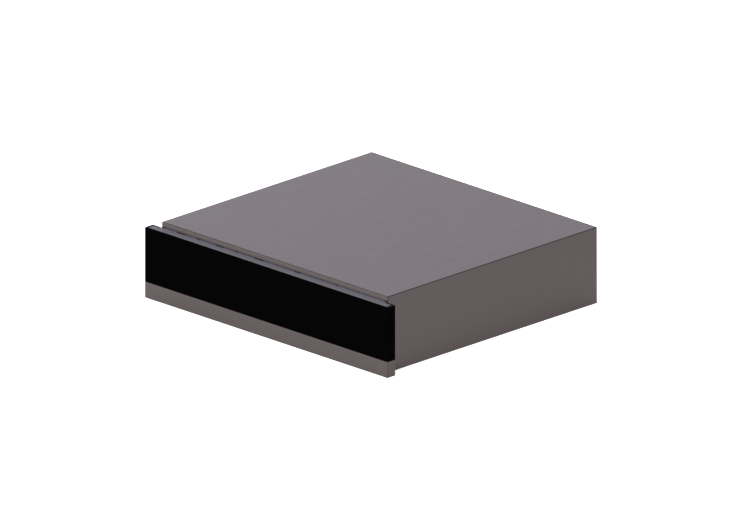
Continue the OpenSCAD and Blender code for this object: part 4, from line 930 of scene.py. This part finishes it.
# each field has a ring under the lip and a row of dashes at the lip's edge: its place and its dashes
fields = ((-228 * mm, 5), (-133.6 * mm, 4), (-37.7 * mm, 5), (57 * mm, 3))
field_y = face_y + 14 * mm
field_ring = (6.5 * mm, 5.7 * mm)
dash_w = 3.4 * mm
dash_pitch = 4.6 * mm
dash_front, dash_back = face_y - 3 * mm, face_y + 1.6 * mm
dash_corner_r = 0.6 * mm
lights_x = (-189 * mm, -184 * mm, -93 * mm, 154 * mm)
lights_y = face_y - 0.7 * mm
light_ring = (2.1 * mm, 1.2 * mm)
marks = []


def printed_ring(name, x, y, outer, inner):
    """A flat ring of ink on the strip."""
    activate()
    bpy.ops.mesh.primitive_cylinder_add(vertices=40, radius=outer, depth=ink_t,
                                        location=(x, y, strip_top + ink_t / 2))
    ring = bpy.context.object
    ring.name = ring.data.name = name
    bpy.ops.object.transform_apply(location=True, rotation=True, scale=True)
    pick(ring, "FACE", lambda middle, normal: abs(normal.z) > 0.9)
    bpy.ops.mesh.inset(thickness=outer - inner)
    bpy.ops.mesh.bridge_edge_loops()
    activate()
    marks.append(ring)


for number, x in enumerate(lights_x, 1):
    printed_ring(f"printed_light_ring_{number}", x, lights_y, *light_ring)
for number, (x, dashes) in enumerate(fields, 1):
    first = x - dash_w / 2 - dash_pitch * (dashes - 1) / 2
    for dash in range(dashes):
        left = first + dash * dash_pitch
        bar = start_box(f"printed_dash_{number}_{dash + 1}", (left, dash_front, strip_top),
                        (left + dash_w, dash_back, strip_top + ink_t))
        pick(bar, "EDGE", lambda middle, along: abs(along.z) > 0.9)
        bpy.ops.mesh.bevel(offset=dash_corner_r, segments=4, affect="EDGES")
        marks.append(bar)
    printed_ring(f"printed_field_ring_{number}", x, field_y, *field_ring)
# where the strip juts out beside the casing, its rear and its end get a band of black ink: painted shade
# along these edges
shade_band_w = 4.5 * mm
bare_w = 0.2 * mm
strip_back = face_y - 2 * mm
for side, sign in (("left", -1), ("right", 1)):
    corner_x = sign * (strip_high.x - shade_band_w)
    for part, near_x, front, back in (
            ("rear", sign * case_half_w, strip_back - shade_band_w, strip_back - bare_w),
            ("end", corner_x, strip_low.y + bare_w, strip_back - shade_band_w)):
        inner, outer = sorted((near_x, sign * (strip_high.x - bare_w)))
        shade_band = start_box(f"printed_{part}_border_{side}", (inner, front, strip_top),
                              (outer, back, strip_top + ink_t))
        pick(shade_band, "FACE", lambda middle, normal: normal.z < -0.5)
        bpy.ops.mesh.inset(thickness=bare_w)
        marks.append(shade_band)
for mark in marks:
    finish(mark, "drawer", "control_grey", print_and_shade_ink)

# Smoked polycarbonate light guides: with no light behind them they look like small dark dots.
smoked, tree, shader, place = new_material("smoked_polycarbonate", "#1d1716", 0, 0.25, ior=1.58)
streaks = add(tree, "ShaderNodeTexNoise", {"Vector": place, "Scale": cells(3.333 * mm), "Detail": 2})
vary(tree, shader, streaks.outputs["Fac"], "#181211", "#241d1b")
lenses = eased_copy("indicator_lenses", "light_guides", 0.15 * mm)
finish(lenses, "drawer", "lens", smoked, replaces=["indicator_lenses"])

# ---- Control housing ----
# Behind the front, a stainless box with an open top holds the control board under the strip. Rubber
# touch pads press the board's keys against the strip's underside.

housing = eased_copy("control_housing", "folded_control_housing", 0.25 * mm)
finish(housing, "drawer", "stainless", stainless, replaces=["control_housing"])
control_board = eased_copy("control_board", "control_circuit_board", 0.1 * mm)
finish(control_board, "drawer", "board_green", board_green, replaces=["control_board"])
pads = eased_copy("touch_pads", "rubber_touch_pads", 0.4 * mm)
finish(pads, "drawer", "rubber", rubber, replaces=["touch_pads"])

activate()
